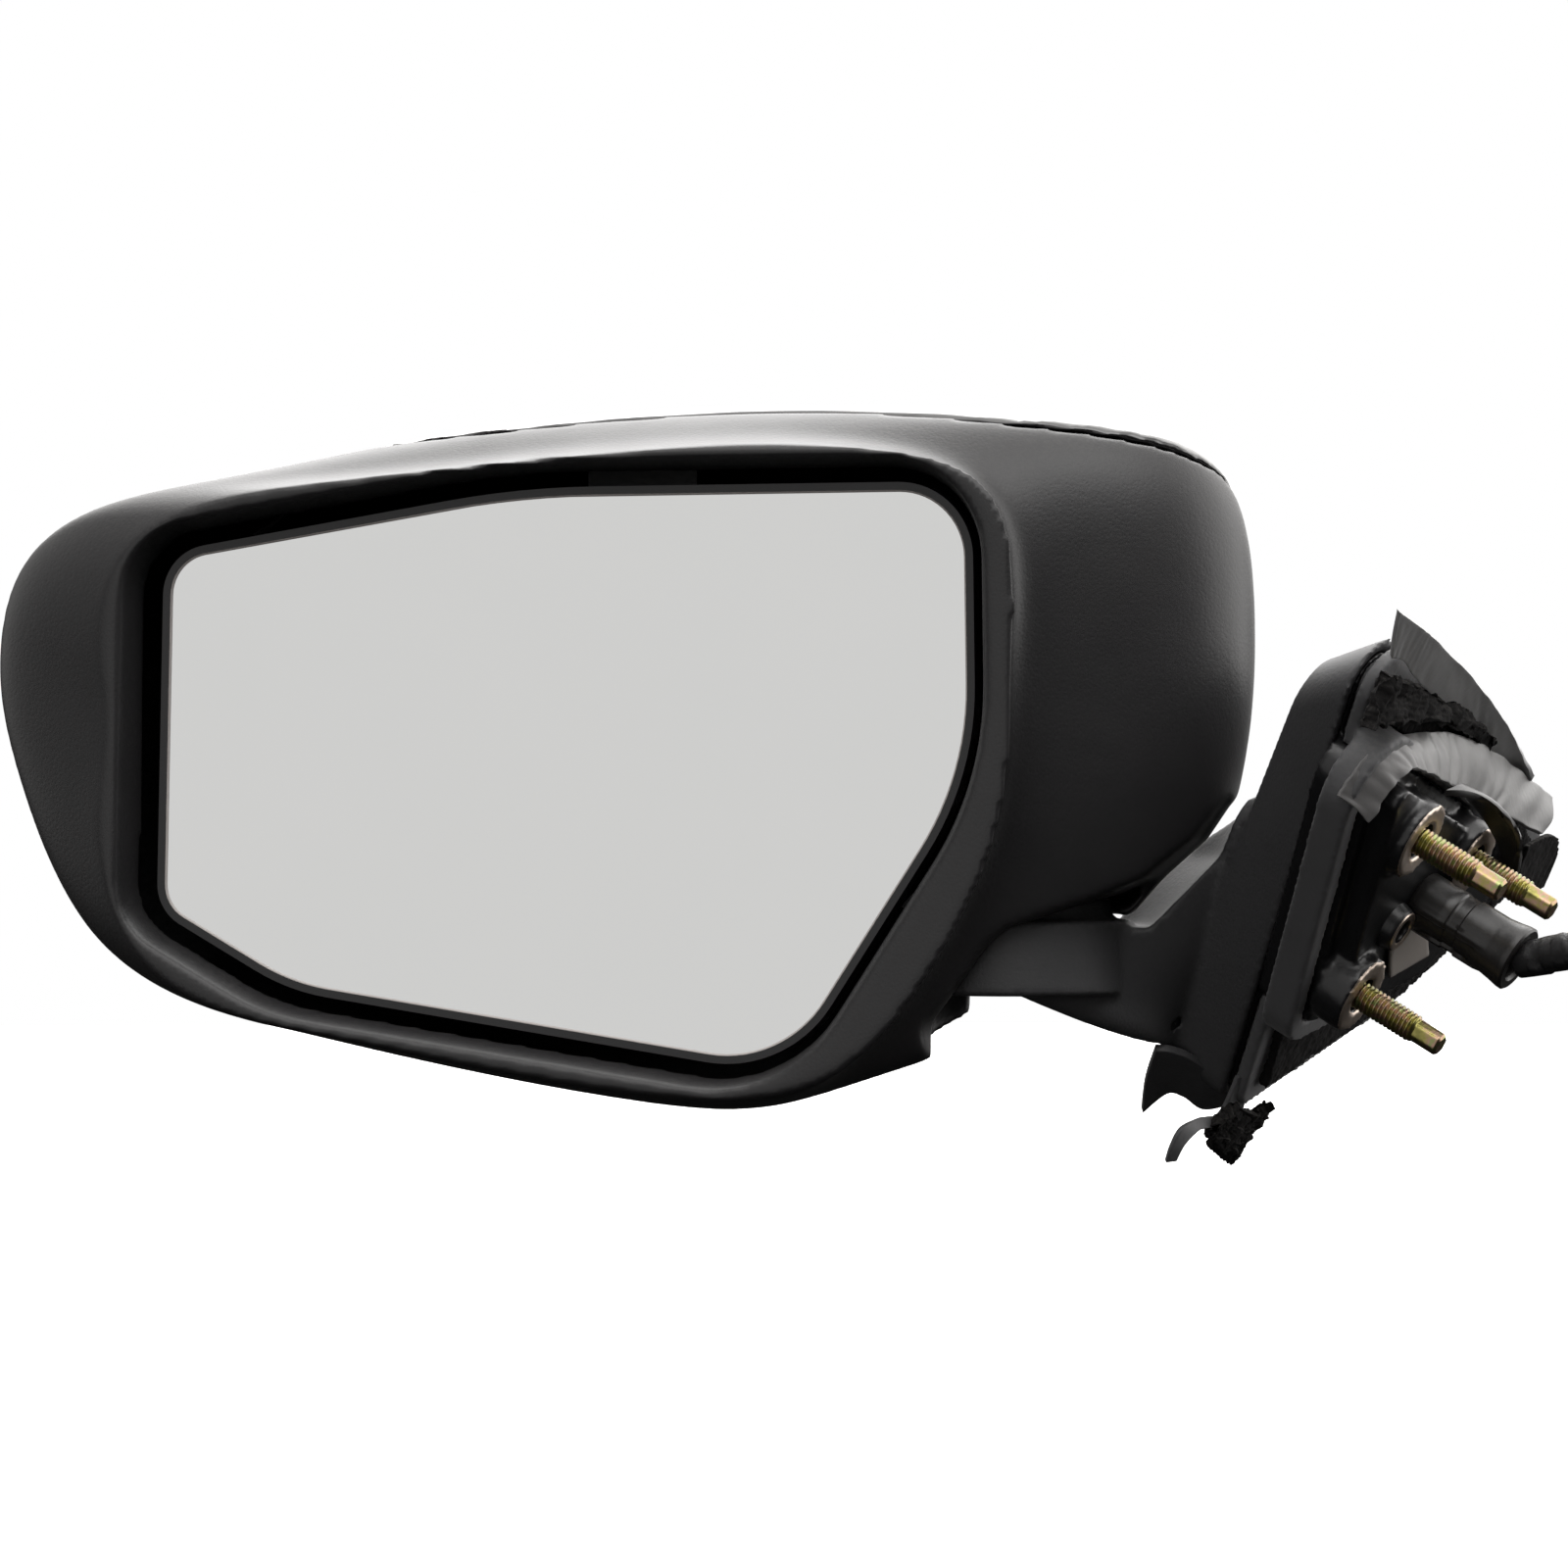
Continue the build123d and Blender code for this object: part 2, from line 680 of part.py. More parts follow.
def arm_solid(shrink):
    """Arm, turret and foot as one solid, drawn in by shrink mm except at the foot's door side."""
    with BuildPart() as foot:
        with BuildSketch(door.offset(-cover_in)):
            add(leaf(leaf_door, shrink))
        with BuildSketch(door.offset(-(cover_out - shrink))):
            add(leaf(leaf_arm, shrink))
        loft(ruled=True)
    with BuildPart() as neck:
        with BuildSketch(Plane(tip_centre, x_dir=(0, 1, 0), z_dir=(1, 0, 0))):
            add(leaf(arm_tip, shrink))
        with BuildSketch(Plane(middle_centre, x_dir=(0, 1, 0), z_dir=(1, 0, -0.15))):
            add(leaf(arm_middle, shrink))
        with BuildSketch(door.offset(-(cover_out - 3))):
            add(leaf(arm_root, shrink))
        loft()
    with BuildPart() as whole:
        add(foot.part)
        add(neck.part)
        with BuildSketch(Plane.XY.offset(seam_z - turret_depth + shrink)):
            with Locations((fold_x, fold_y)):
                Circle(turret_radius - shrink)
        extrude(amount=turret_depth - 2 * shrink)
        with BuildSketch(fold_plane(-shrink)):
            with BuildLine():
                Polyline((0, 0), *arm_bowl, (0, bowl_top), close=True)
            make_face()
        revolve(axis=fold_axis, mode=Mode.SUBTRACT)
    return whole.part


with BuildPart() as arm_cover:
    add(arm_solid(0))
    add(arm_solid(skin), mode=Mode.SUBTRACT)
    with BuildSketch(Plane.XY.offset(seam_z - skin - 1)):
        with Locations((fold_x, fold_y)):
            Circle(hub_radius)
    extrude(amount=skin + 2, mode=Mode.SUBTRACT)
    with BuildSketch(Plane.XY.offset(seam_z - 0.5)):
        with Locations((fold_x, fold_y)):
            Circle(lip_outer)
            Circle(lip_inner, mode=Mode.SUBTRACT)
    extrude(amount=lip_height + 0.5)
arm_cover.part.label = "arm_cover"
export_step(arm_cover.part, "parts/arm_cover.step")

pedestal_outline = [((-47, 31), 7), ((28, 17), 8), ((62, 2), 8), ((40, -24), 8), ((-2, -35), 6)]
pedestal_step = 8.0
pedestal_inset = 4.0
stud_start = 142.4
stud_ring = stud_circle / 2
stud_depth = pedestal_step
with BuildPart() as base_casting:
    add(arm_solid(skin + core_gap))
    with BuildSketch(door.offset(-cover_in)):
        add(leaf(pedestal_outline))
    extrude(amount=cover_in - pedestal_step)
    with BuildSketch(door.offset(-pedestal_step)):
        add(leaf(pedestal_outline, pedestal_inset))
    extrude(amount=pedestal_step - boss_height)
    with BuildSketch(door.offset(-pedestal_step)):
        with PolarLocations(stud_ring, stud_count, start_angle=stud_start):
            Circle(boss_radius)
    extrude(amount=pedestal_step)
    with BuildSketch(door.offset(-stud_depth)):
        with PolarLocations(stud_ring, stud_count, start_angle=stud_start):
            Circle(stud_shank)
    extrude(amount=stud_depth, mode=Mode.SUBTRACT)
    with BuildSketch(Plane.XY.offset(seam_z - skin - core_gap)):
        with Locations((fold_x, fold_y)):
            Circle(hub_radius - 0.5)
    extrude(amount=skin + core_gap)
    with BuildSketch(Plane.XY.offset(seam_z - post_root)):
        with Locations((fold_x, fold_y)):
            Circle(post_radius)
    extrude(amount=post_root, mode=Mode.SUBTRACT)
base_casting.part.label = "base_casting"
export_step(base_casting.part, "parts/base_casting.step")

with BuildPart() as mount_studs:
    with BuildSketch(door.offset(-stud_depth)):
        with PolarLocations(stud_ring, stud_count, start_angle=stud_start):
            Circle(stud_shank)
    extrude(amount=stud_depth)
    with BuildSketch(door):
        with PolarLocations(stud_ring, stud_count, start_angle=stud_start):
            Circle(stud_radius)
    extrude(amount=stud_thread)
    with BuildSketch(door.offset(stud_thread)):
        with PolarLocations(stud_ring, stud_count, start_angle=stud_start):
            RegularPolygon(stud_tip_flats / 2, 6, major_radius=False)
    extrude(amount=stud_tip)
mount_studs.part.label = "mount_studs"
export_step(mount_studs.part, "parts/mount_studs.step")

# Rubber gasket round the pedestal, the foam on it and the two seal strips behind it
lip_near = 16.5
lip_foot = 1.5
skirt_near = 9.0
skirt_wall = 5.0
with BuildPart() as gasket:
    with BuildSketch(door.offset(-cover_in)):
        add(leaf(leaf_door, 4.0))
    extrude(amount=lip_foot)
    with BuildSketch(door.offset(-(cover_in - lip_foot))):
        add(leaf(leaf_door, 1.0))
    extrude(amount=cover_in - lip_foot - lip_near)
    with BuildSketch(door.offset(-lip_near)):
        add(leaf(pedestal_outline, -skirt_wall))
    extrude(amount=lip_near - skirt_near)
    with BuildSketch(door.offset(-cover_in)):
        add(leaf(pedestal_outline, -0.1))
    extrude(amount=cover_in, mode=Mode.SUBTRACT)
gasket.part.label = "gasket"
export_step(gasket.part, "parts/gasket.step")

foam_thick = 2.5
with BuildPart() as foam_seal:
    with BuildSketch(door.offset(-lip_near)):
        add(leaf(leaf_door, 6.0))
        add(leaf(pedestal_outline, -skirt_wall - 0.2), mode=Mode.SUBTRACT)
    extrude(amount=foam_thick)
foam_seal.part.label = "foam_seal"
export_step(foam_seal.part, "parts/foam_seal.step")

# Skirt of soft rubber over the pedestal's top and flap along the gasket's upper edge
skirt_upper = [(-44, 24), (-40, 31), (-27, 33), (-11, 34), (4, 33.8), (33, 30), (60, 24.5), (86, 18)]
skirt_lower = [(86, 15.5), (60, 22), (33, 27.5), (4, 31.2), (-11, 31.5), (-27, 30.7), (-37, 28.8), (-41, 22)]
skirt_height = 5.4
with BuildPart() as seal_skirt:
    with BuildSketch(door.offset(-skirt_near)):
        with BuildLine():
            Polyline(*skirt_upper, *skirt_lower, close=True)
        make_face()
    extrude(amount=skirt_height)
seal_skirt.part.label = "seal_skirt"
export_step(seal_skirt.part, "parts/seal_skirt.step")

flap_lower = [(76, 20), (44, 26.7), (18, 33.5), (-25, 42.7), (-43.4, 48), (-51.4, 48.7)]
flap_upper = [(-71.7, 60.7), (-38.5, 54.1), (-4, 45.7), (31.5, 35.3), (63, 23.7)]
flap_thick = 1.2
with BuildPart() as seal_flap:
    with BuildSketch(door.offset(-(lip_near - foam_thick))):
        with BuildLine():
            Polyline(*flap_lower, *flap_upper, close=True)
        make_face()
    extrude(amount=flap_thick)
seal_flap.part.label = "seal_flap"
export_step(seal_flap.part, "parts/seal_flap.step")

# Connector collar and the harness that leaves it
collar_place = (8.7, -1.3)
with BuildPart() as connector_collar:
    with BuildSketch(door.offset(-boss_height)):
        with Locations(collar_place):
            Circle(collar_radius)
    extrude(amount=boss_height + collar_length - collar_flange_long)
    with BuildSketch(door.offset(collar_length - collar_flange_long)):
        with Locations(collar_place):
            Circle(collar_radius + collar_flange)
    extrude(amount=collar_flange_long)
connector_collar.part.label = "connector_collar"
export_step(connector_collar.part, "parts/connector_collar.step")

harness_exit = door.from_local_coords(Vector(*collar_place, collar_length))
harness_route = [
    (30.5, 1.5, -10.2), (43.0, -1.5, -7.6), (57.0, -3.0, -11.2), (69.0, -1.5, -22.0),
    (76.5, 1.5, -40.0), (81.0, 3.5, -62.0), (82.5, 3.0, -86.0), (80.5, 0.5, -110.0), (77.0, -3.0, -134.0),
    (75.5, -5.5, -158.0), (77.0, -6.0, -180.0),
]
route = [harness_exit] + [Vector(*point) for point in harness_route]
harness_radii = []
for before, corner, after in zip(route, route[1:], route[2:]):
    run_in = corner - before
    run_out = after - corner
    half_turn = radians(run_in.get_angle(run_out)) / 2
    harness_radii.append(0.45 * min(run_in.length, run_out.length) / tan(half_turn))

with BuildPart() as harness:
    with BuildLine() as harness_line:
        FilletPolyline(*route, radius=harness_radii)
    with BuildSketch(Plane(origin=harness_line.line @ 0, z_dir=harness_line.line % 0)):
        Circle(harness_diameter / 2)
    sweep(path=harness_line.line)
harness.part.label = "harness"
export_step(harness.part, "parts/harness.step")
harness_length = sum(edge.length for edge in harness_line.edges())
harness_share = harness.part.volume / (pi * harness_diameter ** 2 / 4 * harness_length)
print("harness radii", [round(radius, 1) for radius in harness_radii])
print("harness length", round(harness_length, 1), "volume share", round(harness_share, 4))

plug_width = 22.0
plug_depth = 14.0
plug_length = 26.0
socket_depth = 12.0
plug_wall = 1.5
plug_axis = harness_line.line % 1
plug_mouth = (harness_line.line @ 1) + plug_axis * plug_length
with BuildPart() as harness_plug:
    with BuildSketch(Plane(origin=harness_line.line @ 1, x_dir=(1, 0, 0), z_dir=plug_axis)):
        RectangleRounded(plug_width, plug_depth, 2.5)
    extrude(amount=plug_length)
    with BuildSketch(Plane(plug_mouth, x_dir=(1, 0, 0), z_dir=plug_axis)):
        RectangleRounded(plug_width - 2 * plug_wall, plug_depth - 2 * plug_wall, 1.5)
    extrude(amount=-socket_depth, mode=Mode.SUBTRACT)
harness_plug.part.label = "harness_plug"
export_step(harness_plug.part, "parts/harness_plug.step")
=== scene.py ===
"""Looks of a powered, manually folding door mirror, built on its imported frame."""

import json
import logging
import math
from dataclasses import dataclass, field
from enum import Enum
from typing import Callable, Sequence

import bpy
from mathutils import Matrix, Vector, noise

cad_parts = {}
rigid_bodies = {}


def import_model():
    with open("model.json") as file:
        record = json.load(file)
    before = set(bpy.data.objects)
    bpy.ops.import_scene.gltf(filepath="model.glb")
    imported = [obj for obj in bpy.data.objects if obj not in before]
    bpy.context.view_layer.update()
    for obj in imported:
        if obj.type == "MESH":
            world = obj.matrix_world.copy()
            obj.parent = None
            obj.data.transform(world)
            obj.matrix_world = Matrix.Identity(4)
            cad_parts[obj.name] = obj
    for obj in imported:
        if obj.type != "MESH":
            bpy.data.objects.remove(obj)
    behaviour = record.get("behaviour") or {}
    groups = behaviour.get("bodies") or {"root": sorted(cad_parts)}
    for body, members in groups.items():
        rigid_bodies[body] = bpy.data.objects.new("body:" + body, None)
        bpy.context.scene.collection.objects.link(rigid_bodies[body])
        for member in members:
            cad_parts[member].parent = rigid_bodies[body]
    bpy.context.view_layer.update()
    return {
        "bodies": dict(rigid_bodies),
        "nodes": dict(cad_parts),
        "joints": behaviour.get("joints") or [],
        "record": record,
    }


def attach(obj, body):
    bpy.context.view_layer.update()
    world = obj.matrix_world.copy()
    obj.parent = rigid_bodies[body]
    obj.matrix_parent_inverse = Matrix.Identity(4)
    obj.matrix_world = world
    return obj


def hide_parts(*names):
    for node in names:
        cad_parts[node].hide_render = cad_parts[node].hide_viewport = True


LOG = logging.getLogger("door_mirror")
MM = 0.001
Point = tuple[float, float, float]
Pair = tuple[float, float]
Value = float | bpy.types.NodeSocket

DUST_TONE = (0.42, 0.40, 0.37, 1.0)
GRAIN_HEIGHT = 0.0004
WRINKLES_ACROSS = 1.6
WRINKLES_ALONG = 26.0

LEAN = math.radians(30.0)
TURN = math.radians(10.0)
DOOR_NORMAL = Vector((math.cos(LEAN) * math.cos(TURN), -math.cos(LEAN) * math.sin(TURN), -math.sin(LEAN)))
ALONG_DOOR = Vector((math.sin(TURN), math.cos(TURN), 0.0))
UP_DOOR = DOOR_NORMAL.cross(ALONG_DOOR)


class Body(Enum):
    """Moving bodies that pieces ride on."""

    BASE = "base"
    HEAD = "head"
    HOLDER = "glass"


class Slot(Enum):
    """Material slots of the record."""

    HOUSING = "housing"
    SCALP = "scalp"
    HOLDER = "holder"
    CASTING = "casting"
    ARM = "arm"
    ZINC = "zinc"
    GASKET = "gasket"
    FOAM = "foam"
    COLLAR = "collar"
    TAPE = "tape"
    PLUG = "plug"


def on_door(along: float, up: float, outboard: float) -> Vector:
    """Give a point of the door's frame in metres.

    Args:
        along: millimetres forward along the door from the stud circle's centre.
        up: millimetres up the door.
        outboard: millimetres outboard of the boss faces.

    Returns:
        The point in the row frame.
    """
    return (ALONG_DOOR * along + UP_DOOR * up - DOOR_NORMAL * outboard) * MM


# ---------------------------------------------------------------- node groups


def new_group(
    name: str, inputs: Sequence[tuple[str, str, float]], outputs: Sequence[tuple[str, str]]
) -> tuple[bpy.types.NodeTree, bpy.types.Node, bpy.types.Node]:
    """Make an empty shader node group with its sockets.

    Args:
        name: the group's name.
        inputs: socket name, kind and default of each input.
        outputs: socket name and kind of each output.

    Returns:
        The node tree, its input node and its output node.
    """
    tree = bpy.data.node_groups.new(name, "ShaderNodeTree")
    for label, kind, default in inputs:
        socket = tree.interface.new_socket(name=label, in_out="INPUT", socket_type="NodeSocket" + kind)
        if kind == "Float":
            socket.default_value = default
    for label, kind in outputs:
        tree.interface.new_socket(name=label, in_out="OUTPUT", socket_type="NodeSocket" + kind)
    return tree, tree.nodes.new("NodeGroupInput"), tree.nodes.new("NodeGroupOutput")


def math_node(
    tree: bpy.types.NodeTree, operation: str, first: Value, second: Value | None = None, clamp: bool = False
) -> bpy.types.NodeSocket:
    """Add a Math node and wire or set its two values.

    Args:
        tree: the tree that gets the node.
        operation: the Math operation.
        first: a socket or a number.
        second: a socket, a number or None.
        clamp: whether the result is held between 0 and 1.

    Returns:
        The node's output socket.
    """
    node = tree.nodes.new("ShaderNodeMath")
    node.operation = operation
    node.use_clamp = clamp
    for place, value in enumerate((first, second)):
        if value is None:
            continue
        if isinstance(value, (int, float)):
            node.inputs[place].default_value = value
        else:
            tree.links.new(value, node.inputs[place])
    return node.outputs[0]


def noise_node(
    tree: bpy.types.NodeTree, vector: bpy.types.NodeSocket, scale: Value, detail: float, rough: float = 0.5
) -> bpy.types.NodeSocket:
    """Add a Noise Texture.

    Args:
        tree: the tree that gets the node.
        vector: the coordinate socket.
        scale: a number or a socket.
        detail: octaves of detail.
        rough: roughness of the octaves.

    Returns:
        The factor socket.
    """
    node = tree.nodes.new("ShaderNodeTexNoise")
    node.inputs["Detail"].default_value = detail
    node.inputs["Roughness"].default_value = rough
    tree.links.new(vector, node.inputs["Vector"])
    if isinstance(scale, (int, float)):
        node.inputs["Scale"].default_value = scale
    else:
        tree.links.new(scale, node.inputs["Scale"])
    return node.outputs["Fac"]


def grain_group() -> bpy.types.NodeTree:
    """Build the spark-eroded grain of moulded plastic and rubber.

    Returns:
        Group with inputs Vector and Scale, and outputs Height and Tone.
    """
    tree, enter, leave = new_group(
        "moulded_grain", [("Vector", "Vector", 0.0), ("Scale", "Float", 2500.0)],
        [("Height", "Float"), ("Tone", "Float")],
    )
    fine = noise_node(tree, enter.outputs["Vector"], enter.outputs["Scale"], 3.0, 0.6)
    cells = tree.nodes.new("ShaderNodeTexVoronoi")
    tree.links.new(enter.outputs["Vector"], cells.inputs["Vector"])
    tree.links.new(math_node(tree, "MULTIPLY", enter.outputs["Scale"], 0.45), cells.inputs["Scale"])
    pits = math_node(tree, "SMOOTH_MIN", cells.outputs["Distance"], 0.55)
    tree.links.new(math_node(tree, "ADD", math_node(tree, "MULTIPLY", fine, 0.6), pits), leave.inputs["Height"])
    patch = noise_node(tree, enter.outputs["Vector"], 38.0, 4.0, 0.55)
    tree.links.new(patch, leave.inputs["Tone"])
    return tree


def dust_group() -> bpy.types.NodeTree:
    """Build the thin dust that settles on faces that look up.

    Returns:
        Group with inputs Vector and Amount, and the output Mask.
    """
    tree, enter, leave = new_group(
        "settled_dust", [("Vector", "Vector", 0.0), ("Amount", "Float", 0.1)], [("Mask", "Float")]
    )
    facing = tree.nodes.new("ShaderNodeNewGeometry")
    split = tree.nodes.new("ShaderNodeSeparateXYZ")
    tree.links.new(facing.outputs["Normal"], split.inputs[0])
    upward = math_node(tree, "MAXIMUM", split.outputs["Z"], 0.0)
    specks = noise_node(tree, enter.outputs["Vector"], 900.0, 5.0, 0.7)
    clumps = noise_node(tree, enter.outputs["Vector"], 60.0, 3.0)
    thin = math_node(tree, "MULTIPLY", math_node(tree, "SUBTRACT", specks, 0.42), 2.6, clamp=True)
    thick = math_node(tree, "MULTIPLY", clumps, upward)
    mask = math_node(tree, "MULTIPLY", math_node(tree, "MULTIPLY", thin, thick), enter.outputs["Amount"], clamp=True)
    tree.links.new(mask, leave.inputs["Mask"])
    return tree


def scratch_group() -> bpy.types.NodeTree:
    """Build fine handling scratches and wiped streaks.

    Returns:
        Group with inputs Vector and Amount, and the output Mask.
    """
    tree, enter, leave = new_group(
        "fine_scratches", [("Vector", "Vector", 0.0), ("Amount", "Float", 0.2)], [("Mask", "Float")]
    )
    stretch = tree.nodes.new("ShaderNodeMapping")
    stretch.inputs["Rotation"].default_value = (0.3, 0.5, 0.9)
    stretch.inputs["Scale"].default_value = (60.0, 1400.0, 900.0)
    tree.links.new(enter.outputs["Vector"], stretch.inputs["Vector"])
    lines = noise_node(tree, stretch.outputs["Vector"], 1.0, 2.0)
    rare = noise_node(tree, enter.outputs["Vector"], 45.0, 2.0)
    sharp = math_node(tree, "MULTIPLY", math_node(tree, "SUBTRACT", lines, 0.66), 9.0, clamp=True)
    where = math_node(tree, "MULTIPLY", math_node(tree, "SUBTRACT", rare, 0.45), 4.0, clamp=True)
    mask = math_node(tree, "MULTIPLY", math_node(tree, "MULTIPLY", sharp, where), enter.outputs["Amount"], clamp=True)
    tree.links.new(mask, leave.inputs["Mask"])
    return tree


@dataclass
class GroupShelf:
    """Node groups that the finishes share, each built once."""

    grain: bpy.types.NodeTree = field(default_factory=grain_group)
    dust: bpy.types.NodeTree = field(default_factory=dust_group)
    scratches: bpy.types.NodeTree = field(default_factory=scratch_group)


# ------------------------------------------------------------------- finishes


@dataclass(frozen=True)
class Finish:
    """A procedural finish: two tones, grain, roughness, dust and scratches."""

    name: str
    tone: Point
    tone_two: Point
    roughness: float = 0.45
    rough_spread: float = 0.1
    metallic: float = 0.0
    grain_scale: float = 2500.0
    grain_depth: float = 0.05
    dust: float = 0.1
    scratches: float = 0.15
    coat: float = 0.0
    coat_roughness: float = 0.05
    specular: float = 0.5
    sheen: float = 0.0

    def lay(self, shelf: GroupShelf) -> tuple[bpy.types.Material, bpy.types.Node, bpy.types.Node]:
        """Build the material's shared part.

        Args:
            shelf: the shared node groups.

        Returns:
            The material, its shader and its coordinate node.
        """
        made = bpy.data.materials.new(self.name)
        made.use_nodes = True
        tree = made.node_tree
        shader = tree.nodes["Principled BSDF"]
        place = tree.nodes.new("ShaderNodeTexCoord")
        where = place.outputs["Object"]
        groups = {}
        for label, group in (("grain", shelf.grain), ("dust", shelf.dust), ("scratches", shelf.scratches)):
            node = tree.nodes.new("ShaderNodeGroup")
            node.node_tree = group
            tree.links.new(where, node.inputs["Vector"])
            groups[label] = node
        groups["grain"].inputs["Scale"].default_value = self.grain_scale
        groups["dust"].inputs["Amount"].default_value = self.dust
        groups["scratches"].inputs["Amount"].default_value = self.scratches

        tones = tree.nodes.new("ShaderNodeMix")
        tones.data_type = "RGBA"
        tones.inputs[6].default_value = (*self.tone, 1.0)
        tones.inputs[7].default_value = (*self.tone_two, 1.0)
        tree.links.new(groups["grain"].outputs["Tone"], tones.inputs[0])
        dusty = tree.nodes.new("ShaderNodeMix")
        dusty.data_type = "RGBA"
        dusty.inputs[7].default_value = DUST_TONE
        tree.links.new(groups["dust"].outputs["Mask"], dusty.inputs[0])
        tree.links.new(tones.outputs[2], dusty.inputs[6])
        tree.links.new(dusty.outputs[2], shader.inputs["Base Color"])

        spread = math_node(tree, "MULTIPLY", groups["grain"].outputs["Tone"], self.rough_spread)
        level = math_node(tree, "ADD", spread, self.roughness - self.rough_spread / 2)
        scuffed = math_node(tree, "MULTIPLY", groups["scratches"].outputs["Mask"], 0.3)
        dulled = math_node(tree, "MULTIPLY", groups["dust"].outputs["Mask"], 0.5)
        rough = math_node(tree, "ADD", math_node(tree, "ADD", level, scuffed), dulled, clamp=True)
        tree.links.new(rough, shader.inputs["Roughness"])

        bump = tree.nodes.new("ShaderNodeBump")
        bump.inputs["Strength"].default_value = self.grain_depth
        bump.inputs["Distance"].default_value = GRAIN_HEIGHT
        heights = math_node(
            tree, "SUBTRACT", groups["grain"].outputs["Height"], groups["scratches"].outputs["Mask"]
        )
        tree.links.new(heights, bump.inputs["Height"])
        tree.links.new(bump.outputs["Normal"], shader.inputs["Normal"])
        shader.inputs["Metallic"].default_value = self.metallic
        shader.inputs["Coat Weight"].default_value = self.coat
        shader.inputs["Coat Roughness"].default_value = self.coat_roughness
        shader.inputs["Specular IOR Level"].default_value = self.specular
        shader.inputs["Sheen Weight"].default_value = self.sheen
        return made, shader, place

    def make(self, shelf: GroupShelf) -> bpy.types.Material:
        """Return the finished material."""
        return self.lay(shelf)[0]


@dataclass(frozen=True)
class CastFinish(Finish):
    """Black-painted die casting whose boss faces are machined bare."""

    bare: Point = (0.62, 0.52, 0.44)
    face_depth: float = 0.00035

    def make(self, shelf: GroupShelf) -> bpy.types.Material:
        """Return the painted finish with bare metal at the door plane.

        Args:
            shelf: the shared node groups.

        Returns:
            The material.
        """
        made, shader, place = self.lay(shelf)
        tree = made.node_tree
        height = tree.nodes.new("ShaderNodeVectorMath")
        height.operation = "DOT_PRODUCT"
        height.inputs[1].default_value = DOOR_NORMAL
        tree.links.new(place.outputs["Object"], height.inputs[0])
        mask = math_node(tree, "GREATER_THAN", height.outputs["Value"], -self.face_depth)
        paint = shader.inputs["Base Color"].links[0].from_socket
        blend = tree.nodes.new("ShaderNodeMix")
        blend.data_type = "RGBA"
        blend.inputs[7].default_value = (*self.bare, 1.0)
        tree.links.new(mask, blend.inputs[0])
        tree.links.new(paint, blend.inputs[6])
        tree.links.new(blend.outputs[2], shader.inputs["Base Color"])
        tree.links.new(math_node(tree, "MULTIPLY", mask, 0.85), shader.inputs["Metallic"])
        return made


@dataclass(frozen=True)
class ZincFinish(Finish):
    """Yellow-passivated zinc, olive to pink over the threads."""

    def make(self, shelf: GroupShelf) -> bpy.types.Material:
        """Return the plated finish with its run of colours.

        Args:
            shelf: the shared node groups.

        Returns:
            The material.
        """
        made, shader, place = self.lay(shelf)
        tree = made.node_tree
        drift = noise_node(tree, place.outputs["Object"], 260.0, 3.0, 0.6)
        ramp = tree.nodes.new("ShaderNodeValToRGB")
        colours = [
            (0.25, (0.16, 0.15, 0.05)), (0.42, (0.32, 0.29, 0.09)), (0.52, (0.40, 0.25, 0.19)),
            (0.60, (0.27, 0.31, 0.12)), (0.75, (0.46, 0.42, 0.24)),
        ]
        while len(ramp.color_ramp.elements) < len(colours):
            ramp.color_ramp.elements.new(0.5)
        for element, (place_on, colour) in zip(ramp.color_ramp.elements, colours):
            element.position = place_on
            element.color = (*colour, 1.0)
        tree.links.new(drift, ramp.inputs["Fac"])
        tree.links.new(ramp.outputs["Color"], shader.inputs["Base Color"])
        return made


@dataclass(frozen=True)
class MirrorFinish(Finish):
    """Silvered glass, with the faint haze of handling."""

    def make(self, shelf: GroupShelf) -> bpy.types.Material:
        """Return the reflecting finish.

        Args:
            shelf: the shared node groups.

        Returns:
            The material.
        """
        made, shader, place = self.lay(shelf)
        tree = made.node_tree
        haze = noise_node(tree, place.outputs["Object"], 14.0, 3.0)
        level = math_node(tree, "ADD", math_node(tree, "MULTIPLY", haze, 0.03), 0.015)
        tree.links.new(level, shader.inputs["Roughness"])
        for link in list(shader.inputs["Normal"].links):
            tree.links.remove(link)
        return made


@dataclass(frozen=True)
class TapeFinish(Finish):
    """Matte cloth harness tape, with its weave run along the cord's own map."""

    threads_along: float = 260.0
    threads_round: float = 34.0

    def make(self, shelf: GroupShelf) -> bpy.types.Material:
        """Return the woven finish.

        Args:
            shelf: the shared node groups.

        Returns:
            The material.
        """
        made, shader, place = self.lay(shelf)
        tree = made.node_tree
        split = tree.nodes.new("ShaderNodeSeparateXYZ")
        tree.links.new(place.outputs["UV"], split.inputs[0])
        along = math_node(tree, "SINE", math_node(tree, "MULTIPLY", split.outputs["X"], self.threads_along * math.tau))
        across = math_node(tree, "SINE", math_node(tree, "MULTIPLY", split.outputs["Y"], self.threads_round * math.tau))
        weave = math_node(tree, "MULTIPLY", along, across)
        bump = shader.inputs["Normal"].links[0].from_node
        grain = bump.inputs["Height"].links[0].from_socket
        tree.links.new(math_node(tree, "ADD", math_node(tree, "MULTIPLY", weave, 0.5), grain), bump.inputs["Height"])
        return made


